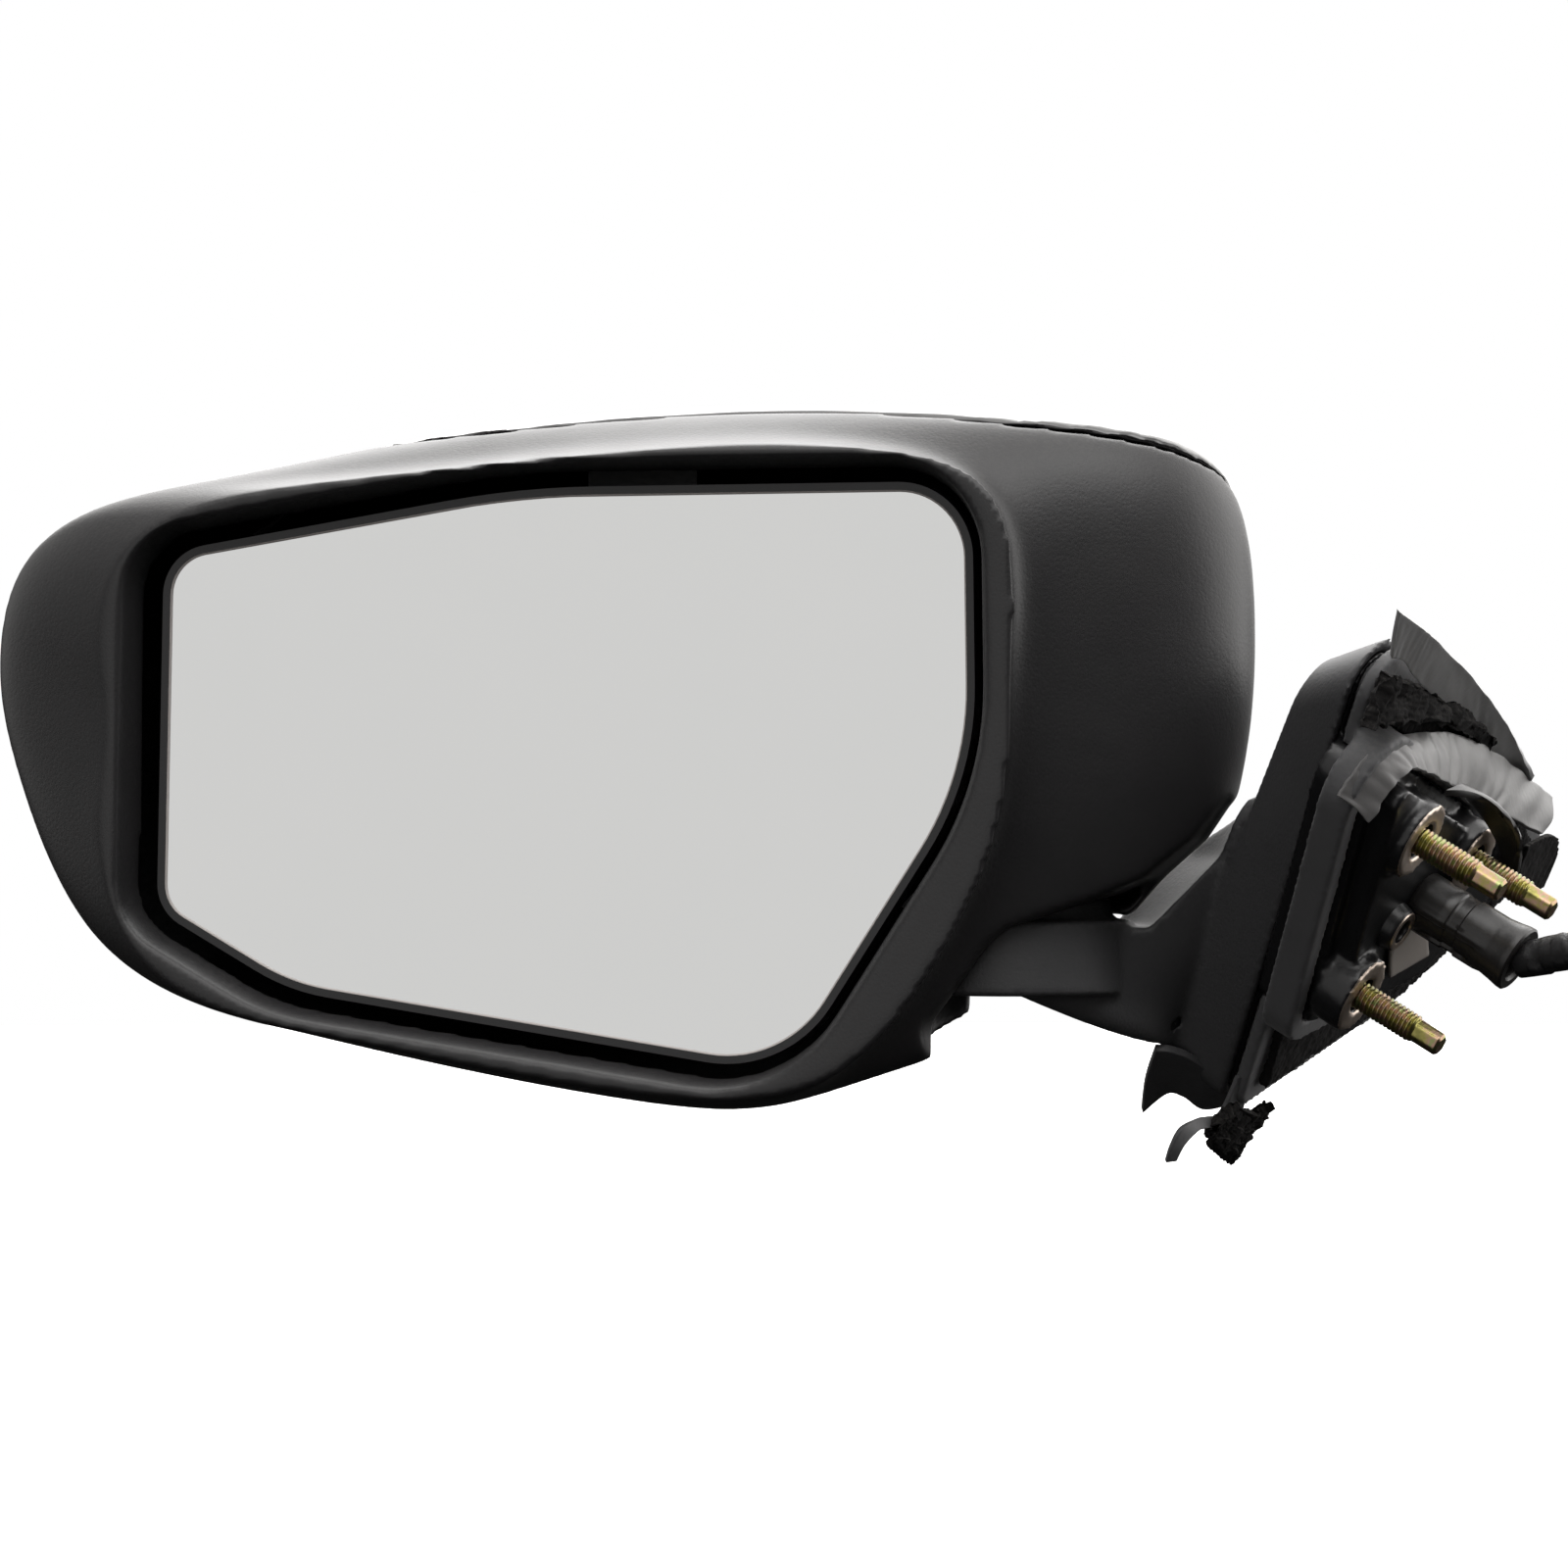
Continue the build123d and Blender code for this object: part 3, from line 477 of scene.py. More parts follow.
SATIN = Finish("satin_black", (0.012, 0.012, 0.013), (0.02, 0.019, 0.02), 0.42, 0.08, grain_depth=0.12, dust=0.1)
GLOSS = Finish("piano_black", (0.006, 0.006, 0.007), (0.01, 0.009, 0.009), 0.16, 0.04, grain_scale=400.0,
               grain_depth=0.004, dust=0.06, scratches=0.1, coat=1.0, coat_roughness=0.03)
MATTE = Finish("matte_grey", (0.036, 0.036, 0.038), (0.05, 0.05, 0.052), 0.55, 0.1, grain_depth=0.18, dust=0.25)
RUBBER = Finish("seal_rubber", (0.05, 0.05, 0.053), (0.075, 0.075, 0.078), 0.6, 0.15, grain_scale=1500.0,
                grain_depth=0.15, dust=0.4, sheen=0.15)
SOFT_RUBBER = Finish("soft_skirt", (0.09, 0.088, 0.088), (0.15, 0.147, 0.145), 0.4, 0.15, grain_scale=900.0,
                     grain_depth=0.2, dust=0.3, sheen=0.1)
# Flap tones: partly the sheet's own light grey, partly a painted highlight, raised to stand in for the glossy sheen on
# its face.
FLAP_GREY_AND_PAINTED_HIGHLIGHT = Finish("grey_flap_painted_highlight", (0.3, 0.3, 0.305), (0.44, 0.44, 0.44), 0.38, 0.12, grain_scale=1200.0, grain_depth=0.1)
FOAM = Finish("open_foam", (0.004, 0.004, 0.004), (0.014, 0.013, 0.013), 0.95, 0.05, grain_scale=1400.0,
              grain_depth=1.0, dust=0.3, scratches=0.0, specular=0.15)
CASTING = CastFinish("painted_casting", (0.006, 0.006, 0.007), (0.014, 0.014, 0.015), 0.3, 0.12,
                     grain_scale=700.0, grain_depth=0.15, dust=0.12)
ZINC = ZincFinish("yellow_zinc", (0.3, 0.25, 0.1), (0.4, 0.3, 0.2), 0.3, 0.12, metallic=0.95, grain_scale=1800.0,
                  grain_depth=0.1)
MIRROR = MirrorFinish("silvered_glass", (0.86, 0.875, 0.875), (0.88, 0.89, 0.89), 0.02, 0.01, metallic=1.0,
                      dust=0.05, scratches=0.03)
BEAD = Finish("glass_edge_bead", (0.34, 0.31, 0.30), (0.5, 0.47, 0.45), 0.35, 0.1, grain_depth=0.05)
HOLDER = Finish("holder_black", (0.008, 0.008, 0.009), (0.014, 0.014, 0.015), 0.38, 0.1, grain_depth=0.1)
TAPE = TapeFinish("harness_tape", (0.005, 0.005, 0.006), (0.012, 0.012, 0.013), 0.34, 0.2, grain_scale=1200.0,
                  grain_depth=0.35, dust=0.2)
COLLAR = Finish("collar_nylon", (0.012, 0.011, 0.011), (0.02, 0.019, 0.018), 0.34, 0.12, grain_scale=1200.0,
                grain_depth=0.08)
PLUG = Finish("plug_nylon", (0.02, 0.02, 0.021), (0.035, 0.034, 0.034), 0.42, 0.1, grain_depth=0.1)
NATURAL = Finish("natural_acetal", (0.62, 0.6, 0.54), (0.72, 0.7, 0.64), 0.4, 0.1, grain_scale=900.0)
NYLON = Finish("white_nylon", (0.55, 0.55, 0.52), (0.68, 0.67, 0.63), 0.45, 0.1, grain_scale=900.0)
STEEL = Finish("ground_steel", (0.5, 0.5, 0.51), (0.62, 0.62, 0.63), 0.28, 0.14, metallic=1.0, grain_scale=1600.0,
               grain_depth=0.08, scratches=0.5)
SPRING = Finish("oiled_spring", (0.12, 0.11, 0.1), (0.2, 0.19, 0.18), 0.3, 0.12, metallic=0.9, grain_scale=1600.0)
CASE = Finish("case_grey", (0.03, 0.03, 0.032), (0.045, 0.045, 0.047), 0.5, 0.1, grain_depth=0.15)
MOTOR = Finish("motor_can", (0.4, 0.4, 0.4), (0.52, 0.52, 0.51), 0.35, 0.12, metallic=1.0, scratches=0.4)
PAD = Finish("heater_film", (0.5, 0.2, 0.09), (0.62, 0.28, 0.13), 0.45, 0.1, grain_scale=700.0, grain_depth=0.1)
PLATE = Finish("bare_plate", (0.55, 0.5, 0.46), (0.68, 0.63, 0.58), 0.3, 0.12, metallic=0.6, grain_scale=900.0)


@dataclass
class Paintshop:
    """Makes each finish once and puts it on pieces."""

    shelf: GroupShelf = field(default_factory=GroupShelf)
    made: dict[str, bpy.types.Material] = field(default_factory=dict)

    def coat(self, piece: bpy.types.Object, finish: Finish) -> None:
        """Put a finish on a piece or a carried-over node.

        Args:
            piece: the object to dress.
            finish: its finish.
        """
        if finish.name not in self.made:
            self.made[finish.name] = finish.make(self.shelf)
        material = self.made[finish.name]
        if not piece.material_slots:
            piece.data.materials.append(material)
        for slot in piece.material_slots:
            slot.material = material


# --------------------------------------------------------------- mesh helpers


def clear_selection() -> None:
    """Leave object mode's selection empty."""
    if bpy.context.object and bpy.context.object.mode != "OBJECT":
        bpy.ops.object.mode_set(mode="OBJECT")
    bpy.ops.object.select_all(action="DESELECT")


def pick(piece: bpy.types.Object) -> None:
    """Select one piece and make it active."""
    clear_selection()
    piece.select_set(True)
    bpy.context.view_layer.objects.active = piece


def apply_modifiers(piece: bpy.types.Object) -> None:
    """Apply all of a piece's modifiers in order."""
    pick(piece)
    for modifier in list(piece.modifiers):
        bpy.ops.object.modifier_apply(modifier=modifier.name)


def tidy_mesh(piece: bpy.types.Object, gap: float = 1e-6, outward: bool = True) -> None:
    """Merge doubles and turn faces outward in edit mode.

    Args:
        piece: the mesh to tidy.
        gap: merging distance in metres.
        outward: whether normals are recalculated.
    """
    pick(piece)
    bpy.ops.object.mode_set(mode="EDIT")
    bpy.ops.mesh.select_all(action="SELECT")
    bpy.ops.mesh.remove_doubles(threshold=gap)
    if outward:
        bpy.ops.mesh.normals_make_consistent(inside=False)
    bpy.ops.object.mode_set(mode="OBJECT")


def smooth_shade(piece: bpy.types.Object, degrees: float = 180.0) -> None:
    """Shade a piece smooth, keeping edges sharper than an angle.

    Args:
        piece: the piece.
        degrees: the angle past which an edge stays sharp.
    """
    pick(piece)
    if degrees >= 180.0:
        bpy.ops.object.shade_smooth()
    else:
        bpy.ops.object.shade_smooth_by_angle(angle=math.radians(degrees))


def place_in_mesh(piece: bpy.types.Object) -> None:
    """Move a piece's place into its mesh."""
    pick(piece)
    bpy.ops.object.transform_apply(location=True, rotation=True, scale=True)


def moulded_copy(node: bpy.types.Object, name: str, voxel: float, rounds: int) -> bpy.types.Object:
    """Copy a node's mesh and round its edges as a mould does.

    Args:
        node: the carried-over node.
        name: the new piece's name.
        voxel: remeshing size in millimetres.
        rounds: passes of smoothing.

    Returns:
        The new piece.
    """
    piece = bpy.data.objects.new(name, node.data.copy())
    bpy.context.scene.collection.objects.link(piece)
    tidy_mesh(piece, 2e-6, outward=False)
    remesh = piece.modifiers.new("even_faces", "REMESH")
    remesh.mode = "VOXEL"
    remesh.voxel_size = voxel * MM
    soften = piece.modifiers.new("rounded_edges", "SMOOTH")
    soften.factor = 0.5
    soften.iterations = rounds
    apply_modifiers(piece)
    smooth_shade(piece)
    return piece


def shaped_grid(
    name: str, across: int, along: int, shape: Callable[[float, float], Vector], closed: bool, capped: bool
) -> bpy.types.Object:
    """Shape a grid by a rule, rolled into a tube where it is closed.

    Args:
        name: the piece's name.
        across: faces across, round the tube where it is closed.
        along: faces along.
        shape: point in metres from two fractions, across and along.
        closed: whether the first and last columns meet.
        capped: whether open ends are filled.

    Returns:
        The new piece.
    """
    clear_selection()
    bpy.ops.mesh.primitive_grid_add(x_subdivisions=across, y_subdivisions=along, size=1.0)
    piece = bpy.context.object
    piece.name = name
    fractions = [(v.co.x + 0.5, v.co.y + 0.5) for v in piece.data.vertices]
    for vertex, (u, v) in zip(piece.data.vertices, fractions):
        vertex.co = shape(u, v)
    if closed:
        tidy_mesh(piece, 1e-7)
    if capped:
        pick(piece)
        bpy.ops.object.mode_set(mode="EDIT")
        bpy.ops.mesh.select_mode(type="VERT")
        bpy.ops.mesh.select_all(action="DESELECT")
        bpy.ops.mesh.select_non_manifold()
        bpy.ops.mesh.fill_holes(sides=0)
        bpy.ops.mesh.select_all(action="SELECT")
        bpy.ops.mesh.normals_make_consistent(inside=False)
        bpy.ops.object.mode_set(mode="OBJECT")
    smooth_shade(piece, 40.0)
    return piece


def along_points(points: Sequence[Vector], where: float) -> Vector:
    """Give a point on a smooth line through points.

    Args:
        points: the line's points.
        where: 0 at the first point and 1 at the last.

    Returns:
        The Catmull-Rom point.
    """
    spans = len(points) - 1
    place = min(max(where, 0.0), 1.0) * spans
    first = min(int(place), spans - 1)
    t = place - first
    before = points[max(first - 1, 0)]
    start, end = points[first], points[first + 1]
    after = points[min(first + 2, spans)]
    return 0.5 * (
        2 * start + (end - before) * t + (2 * before - 5 * start + 4 * end - after) * t * t
        + (3 * start - before - 3 * end + after) * t * t * t
    )


def ribbon(
    name: str, rails: Sequence[Sequence[Vector]], thick: float, across: int, along: int, crease: float = 0.0,
    seed: float = 0.0,
) -> bpy.types.Object:
    """Make a bent strip of sheet from rails that run along it.

    Args:
        name: the strip's name.
        rails: lines of points in metres, in order across the strip.
        thick: thickness in millimetres.
        across: faces across.
        along: faces along.
        crease: height of its wrinkles in millimetres.
        seed: shift of the wrinkles' pattern.

    Returns:
        The strip, with rounded edges.
    """

    def point(u: float, v: float) -> Vector:
        """Give the strip's point, wrinkled across its run.

        Args:
            u: fraction across.
            v: fraction along.

        Returns:
            The point in metres.
        """
        spot = along_points([along_points(rail, v) for rail in rails], u)
        if crease:
            fold = noise.noise(Vector((u * WRINKLES_ACROSS + seed, v * WRINKLES_ALONG, seed)))
            spot = spot + DOOR_NORMAL * (fold * crease * MM) + UP_DOOR * (fold * crease * 0.7 * MM)
        return spot

    strip = shaped_grid(name, across, along, point, closed=False, capped=False)
    wall = strip.modifiers.new("wall", "SOLIDIFY")
    wall.thickness = thick * MM
    wall.offset = 0.0
    edge = strip.modifiers.new("edge", "BEVEL")
    edge.width = thick * 0.3 * MM
    edge.segments = 2
    edge.limit_method = "ANGLE"
    edge.angle_limit = math.radians(60.0)
    apply_modifiers(strip)
    smooth_shade(strip, 50.0)
    return strip


def cut_block(name: str, size: Point, centre: Vector, turn: Matrix, round_by: float) -> bpy.types.Object:
    """Make a block with rounded edges, placed and turned.

    Args:
        name: the block's name.
        size: its three sizes in millimetres.
        centre: its centre in metres.
        turn: its rotation.
        round_by: edge radius in millimetres.

    Returns:
        The block, with its place in its mesh.
    """
    clear_selection()
    bpy.ops.mesh.primitive_cube_add(size=1.0)
    block = bpy.context.object
    block.name = name
    block.scale = Vector(size) * MM
    place_in_mesh(block)
    edge = block.modifiers.new("edge", "BEVEL")
    edge.width = round_by * MM
    edge.segments = 3
    apply_modifiers(block)
    block.matrix_world = Matrix.Translation(centre) @ turn.to_4x4()
    place_in_mesh(block)
    smooth_shade(block, 40.0)
    return block


def carve(piece: bpy.types.Object, tool: bpy.types.Object) -> None:
    """Cut one piece with another and remove the tool.

    Args:
        piece: the piece that is cut.
        tool: the cutting shape.
    """
    cut = piece.modifiers.new("cut", "BOOLEAN")
    cut.operation = "DIFFERENCE"
    cut.solver = "EXACT"
    cut.object = tool
    apply_modifiers(piece)
    bpy.data.objects.remove(tool)


def join_pieces(main_piece: bpy.types.Object, others: Sequence[bpy.types.Object]) -> bpy.types.Object:
    """Join pieces into the first one.

    Args:
        main_piece: the piece that stays.
        others: the pieces that go into it.

    Returns:
        The joined piece.
    """
    pick(main_piece)
    for other in others:
        other.select_set(True)
    bpy.ops.object.join()
    return main_piece


def send_out(piece: bpy.types.Object, body: Body, nodes: Sequence[str] = ()) -> None:
    """Tie a finished piece to its body and nodes, and report it.

    Args:
        piece: the finished piece.
        body: the body it rides on.
        nodes: carried-over nodes that it replaces.
    """
    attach(piece, body.value)
    if nodes:
        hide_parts(*nodes)
    LOG.info("%s: %d faces on %s", piece.name, len(piece.data.polygons), body.value)


# --------------------------------------------------------------------- studio


@dataclass
class Studio:
    """Camera, white surroundings with soft light, and the floor."""

    aim: Point = (-0.124, -0.042, 0.024)
    azimuth: float = 15.0
    distance: float = 1.4
    lens: float = 157.5
    floor_z: float = -0.235
    panels: tuple[tuple[Point, float, float, float], ...] = (
        ((-0.26, -0.97, 0.0), 0.82, 0.90, 0.66),
        ((0.15, -0.35, 0.92), 0.62, 0.96, 2.4),
        ((-0.1, 0.80, 0.60), 0.66, 0.96, 2.6),
        ((0.85, 0.45, 0.25), 0.72, 0.98, 2.6),
        ((-0.95, 0.1, 0.3), 0.80, 0.99, 1.0),
    )
    lamps: tuple[tuple[str, Point, float, float], ...] = (
        ("key_lamp", (0.5, -0.7, 1.1), 0.9, 3.5), ("rim_lamp", (-0.3, 0.9, 0.8), 0.8, 5.0),
    )
    ambient_rise: float = 0.10
    ambient_level: float = 0.05
    ambient_floor: float = 0.012

    def set_camera(self) -> None:
        """Stand the camera at its place and make it the scene's own."""
        turn = math.radians(self.azimuth)
        ahead = Vector((-math.sin(turn), math.cos(turn), 0.0))
        clear_selection()
        bpy.ops.object.camera_add(location=Vector(self.aim) - ahead * self.distance, rotation=(math.pi / 2, 0.0, turn))
        camera = bpy.context.object
        camera.data.lens = self.lens
        camera.data.sensor_width = 36.0
        camera.data.clip_start = 0.01
        camera.data.clip_end = 20.0
        bpy.context.scene.camera = camera

    def set_surroundings(self) -> None:
        """Fill the world: white behind, and soft panels that the surfaces mirror."""
        world = bpy.data.worlds.new("studio")
        bpy.context.scene.world = world
        world.use_nodes = True
        tree = world.node_tree
        place = tree.nodes.new("ShaderNodeTexCoord")
        split = tree.nodes.new("ShaderNodeSeparateXYZ")
        tree.links.new(place.outputs["Generated"], split.inputs[0])
        total = math_node(tree, "MULTIPLY_ADD", split.outputs["Z"], self.ambient_rise)
        total.node.inputs[2].default_value = self.ambient_level
        total = math_node(tree, "MAXIMUM", total, self.ambient_floor)
        for direction, edge_low, edge_high, strength in self.panels:
            facing = tree.nodes.new("ShaderNodeVectorMath")
            facing.operation = "DOT_PRODUCT"
            facing.inputs[1].default_value = Vector(direction).normalized()
            tree.links.new(place.outputs["Generated"], facing.inputs[0])
            soft = tree.nodes.new("ShaderNodeMapRange")
            soft.interpolation_type = "SMOOTHERSTEP"
            soft.inputs["From Min"].default_value = edge_low
            soft.inputs["From Max"].default_value = edge_high
            soft.inputs["To Max"].default_value = strength
            tree.links.new(facing.outputs["Value"], soft.inputs["Value"])
            total = math_node(tree, "ADD", total, soft.outputs["Result"])
        room = tree.nodes["Background"]
        tree.links.new(total, room.inputs["Strength"])
        room.inputs["Color"].default_value = (1.0, 0.985, 0.97, 1.0)
        plain = tree.nodes.new("ShaderNodeBackground")
        plain.inputs["Color"].default_value = (1.0, 1.0, 1.0, 1.0)
        rays = tree.nodes.new("ShaderNodeLightPath")
        mix = tree.nodes.new("ShaderNodeMixShader")
        tree.links.new(rays.outputs["Is Camera Ray"], mix.inputs[0])
        tree.links.new(room.outputs[0], mix.inputs[1])
        tree.links.new(plain.outputs[0], mix.inputs[2])
        tree.links.new(mix.outputs[0], tree.nodes["World Output"].inputs["Surface"])
        bpy.context.scene.view_settings.view_transform = "Standard"

    def set_lights(self) -> None:
        """Hang two soft lamps for gentle shade."""
        for name, place, size, power in self.lamps:
            clear_selection()
            away = Vector(place) - Vector(self.aim)
            bpy.ops.object.light_add(type="AREA", location=place, rotation=away.to_track_quat("Z", "Y").to_euler())
            lamp = bpy.context.object
            lamp.name = name
            lamp.data.size = size
            lamp.data.energy = power

    def lay_floor(self) -> None:
        """Lay the plain pale floor."""
        clear_selection()
        bpy.ops.mesh.primitive_circle_add(vertices=96, radius=6.0, fill_type="NGON", location=(0.0, 0.0, self.floor_z))
        floor = bpy.context.object
        floor.name = "studio_floor"
        pale = bpy.data.materials.new("pale_floor")
        pale.use_nodes = True
        shader = pale.node_tree.nodes["Principled BSDF"]
        shader.inputs["Base Color"].default_value = (0.9, 0.9, 0.9, 1.0)
        shader.inputs["Roughness"].default_value = 0.9
        shader.inputs["Emission Color"].default_value = (1.0, 1.0, 1.0, 1.0)
        shader.inputs["Emission Strength"].default_value = 0.75
        floor.data.materials.append(pale)
        floor.visible_glossy = False
        floor.visible_diffuse = False

    def build(self) -> None:
        """Set up everything that isn't part of the mirror."""
        self.set_camera()
        self.set_surroundings()
        self.set_lights()
        self.lay_floor()


# --------------------------------------------------------------- sub-assemblies


@dataclass
class Wiring:
    """Taped harness, the collar it leaves and the plug on its end."""

    route: tuple[Point, ...] = (
        (19.634, 5.372, -12.126), (30.5, 1.5, -10.2), (43.0, -1.5, -7.6), (57.0, -3.0, -11.2), (69.0, -1.5, -22.0),
        (76.5, 1.5, -40.0), (81.0, 3.5, -62.0), (82.5, 3.0, -86.0), (80.5, 0.5, -110.0), (77.0, -3.0, -134.0),
        (75.5, -5.5, -158.0), (77.0, -6.0, -180.0),
    )
    diameter: float = 8.0
    wrap_pitch: float = 9.0
    wrap_step: float = 0.45
    collar_at: Pair = (8.7, -1.3)
    plug_size: Point = (22.0, 14.0, 26.0)
    plug_trim: float = 0.4
    plug_wall: float = 1.5
    rib_count: int = 4
    rib_start: float = 4.0
    rib_pitch: float = 2.4

    def centreline(self) -> list[Vector]:
        """Return points along the harness's smooth line, in metres.

        Returns:
            The line's points.
        """
        line = bpy.data.curves.new("harness_line", "CURVE")
        line.dimensions = "3D"
        spline = line.splines.new("NURBS")
        spline.points.add(len(self.route) - 1)
        for point, place in zip(spline.points, self.route):
            point.co = (*(Vector(place) * MM), 1.0)
        spline.order_u = 3
        spline.use_endpoint_u = True
        spline.resolution_u = 24
        guide = bpy.data.objects.new("harness_line", line)
        bpy.context.scene.collection.objects.link(guide)
        bpy.context.view_layer.update()
        mesh = bpy.data.meshes.new_from_object(guide)
        points = [v.co.copy() for v in mesh.vertices]
        bpy.data.objects.remove(guide)
        bpy.data.meshes.remove(mesh)
        return points

    def build_harness(self, shop: Paintshop) -> bpy.types.Object:
        """Wrap the tape along the harness's line.

        Args:
            shop: the paint shop.

        Returns:
            The taped harness.
        """
        points = self.centreline()
        runs = [0.0]
        for before, after in zip(points, points[1:]):
            runs.append(runs[-1] + (after - before).length)
        frames: list[tuple[Vector, Vector, Vector]] = []
        side = Vector((0.0, 1.0, 0.0))
        for index, point in enumerate(points):
            ahead = (points[min(index + 1, len(points) - 1)] - points[max(index - 1, 0)]).normalized()
            side = (side - ahead * side.dot(ahead)).normalized()
            frames.append((point, side, ahead.cross(side)))
        rings = len(points) - 1
        radius = self.diameter / 2 * MM

        def skin(u: float, v: float) -> Vector:
            """Give a point of the taped surface.

            Args:
                u: fraction round.
                v: fraction along.

            Returns:
                The point in metres.
            """
            index = round(v * rings)
            centre, first, second = frames[index]
            angle = u * math.tau
            turn = (runs[index] / (self.wrap_pitch * MM) - u) % 1.0
            dent = 0.12 * noise.noise(centre * 300.0 + first * math.cos(angle) + second * math.sin(angle))
            lift = radius - self.wrap_step * MM * (1.0 - turn) * 0.8 + dent * MM
            return centre + (first * math.cos(angle) + second * math.sin(angle)) * lift

        harness = shaped_grid("taped_harness", 36, rings, skin, closed=True, capped=True)
        shop.coat(harness, TAPE)
        send_out(harness, Body.BASE, ["harness"])
        return harness

    def build_plug(self, shop: Paintshop) -> None:
        """Make the plug on the harness's end.

        Args:
            shop: the paint shop.
        """
        end = Vector(self.route[-1]) * MM
        ahead = (Vector(self.route[-1]) - Vector(self.route[-2])).normalized()
        across = (Vector((1.0, 0.0, 0.0)) - ahead * ahead.x).normalized()
        turn = Matrix((across, ahead.cross(across), ahead)).transposed()
        wide, deep, long = self.plug_size
        outer = (wide - self.plug_trim, deep - self.plug_trim, long)
        shell = cut_block("harness_plug_shell", outer, end + ahead * long / 2 * MM, turn, 1.6)
        hollow_by = self.plug_trim + 2 * self.plug_wall
        hollow = cut_block(
            "hollow", (wide - hollow_by, deep - hollow_by, 24.0), end + ahead * long * MM, turn, 1.0
        )
        carve(shell, hollow)
        ribs = [
            cut_block(
                f"rib_{step}", (wide - 6.0, deep + 0.6, 1.2),
                end + ahead * (self.rib_start + self.rib_pitch * step) * MM, turn, 0.3,
            )
            for step in range(self.rib_count)
        ]
        latch = cut_block(
            "latch", (7.0, 1.4, 15.0), end + ahead * 16.0 * MM + turn @ Vector((0.0, -deep / 2 * MM, 0.0)), turn, 0.4
        )
        join_pieces(shell, [*ribs, latch])
        shop.coat(shell, PLUG)
        send_out(shell, Body.BASE, ["harness_plug"])

    def build_collar(self, shop: Paintshop) -> None:
        """Make the connector's collar, with its window, ribs and flared mouth.

        Args:
            shop: the paint shop.
        """
        root = on_door(*self.collar_at, 3.0)
        outside = [(6.0, 0.0), (6.3, 0.5), (6.3, 9.0), (6.0, 9.4), (6.0, 12.0), (6.35, 12.4), (6.35, 19.0),
                   (6.7, 21.5), (7.1, 23.6), (7.15, 24.6), (6.7, 25.0)]
        inside = [(5.0, 25.0), (4.6, 24.2), (4.35, 21.0), (4.3, 12.0)]
        profile = outside + inside

        def skin(u: float, v: float) -> Vector:
            """Give a point of the collar's wall.

            Args:
                u: fraction round.
                v: fraction down the profile.

            Returns:
                The point in metres.
            """
            place = v * (len(profile) - 1)
            first = min(int(place), len(profile) - 2)
            t = place - first
            radius = profile[first][0] * (1 - t) + profile[first + 1][0] * t
            rise = profile[first][1] * (1 - t) + profile[first + 1][1] * t
            angle = u * math.tau
            if first < len(outside) - 1:
                window = abs((u - 0.62 + 0.5) % 1.0 - 0.5)
                if window < 0.07 and 4.0 < rise < 17.0:
                    radius -= 0.7
                if abs(window - 0.11) < 0.02 and 2.0 < rise < 18.0:
                    radius += 0.25
            outward = ALONG_DOOR * math.cos(angle) + UP_DOOR * math.sin(angle)
            return root + outward * radius * MM + DOOR_NORMAL * rise * MM

        collar = shaped_grid("collar_shell", 96, (len(profile) - 1) * 4, skin, closed=True, capped=False)
        shop.coat(collar, COLLAR)
        send_out(collar, Body.BASE, ["connector_collar"])

    def build(self, shop: Paintshop) -> None:
        """Build the wiring.

        Args:
            shop: the paint shop.
        """
        self.build_plug(shop)
        self.build_harness(shop)
        self.build_collar(shop)


@dataclass
class Head:
    """Housing, scalp cover, and everything that folds with them."""

    frame: dict
    shell_voxel: float = 1.15
    shell_rounds: int = 6

    def build(self, shop: Paintshop) -> None:
        """Build the shells and dress what is inside them.

        Args:
            shop: the paint shop.
        """
        nodes = self.frame["nodes"]
        housing = moulded_copy(nodes["head_housing"], "housing_shell", self.shell_voxel, self.shell_rounds)
        shop.coat(housing, SATIN)
        send_out(housing, Body.HEAD, ["head_housing"])
        scalp = moulded_copy(nodes["scalp_cover"], "scalp_shell", self.shell_voxel, self.shell_rounds)
        shop.coat(scalp, GLOSS)
        send_out(scalp, Body.HEAD, ["scalp_cover"])
        inner = {
            "actuator_case": CASE, "actuator_cover": CASE, "case_screws": STEEL, "frame_screws": STEEL,
            "head_frame": CASTING, "motor_side": MOTOR, "motor_low": MOTOR,
        }
        for name, finish in inner.items():
            shop.coat(nodes[name], finish)


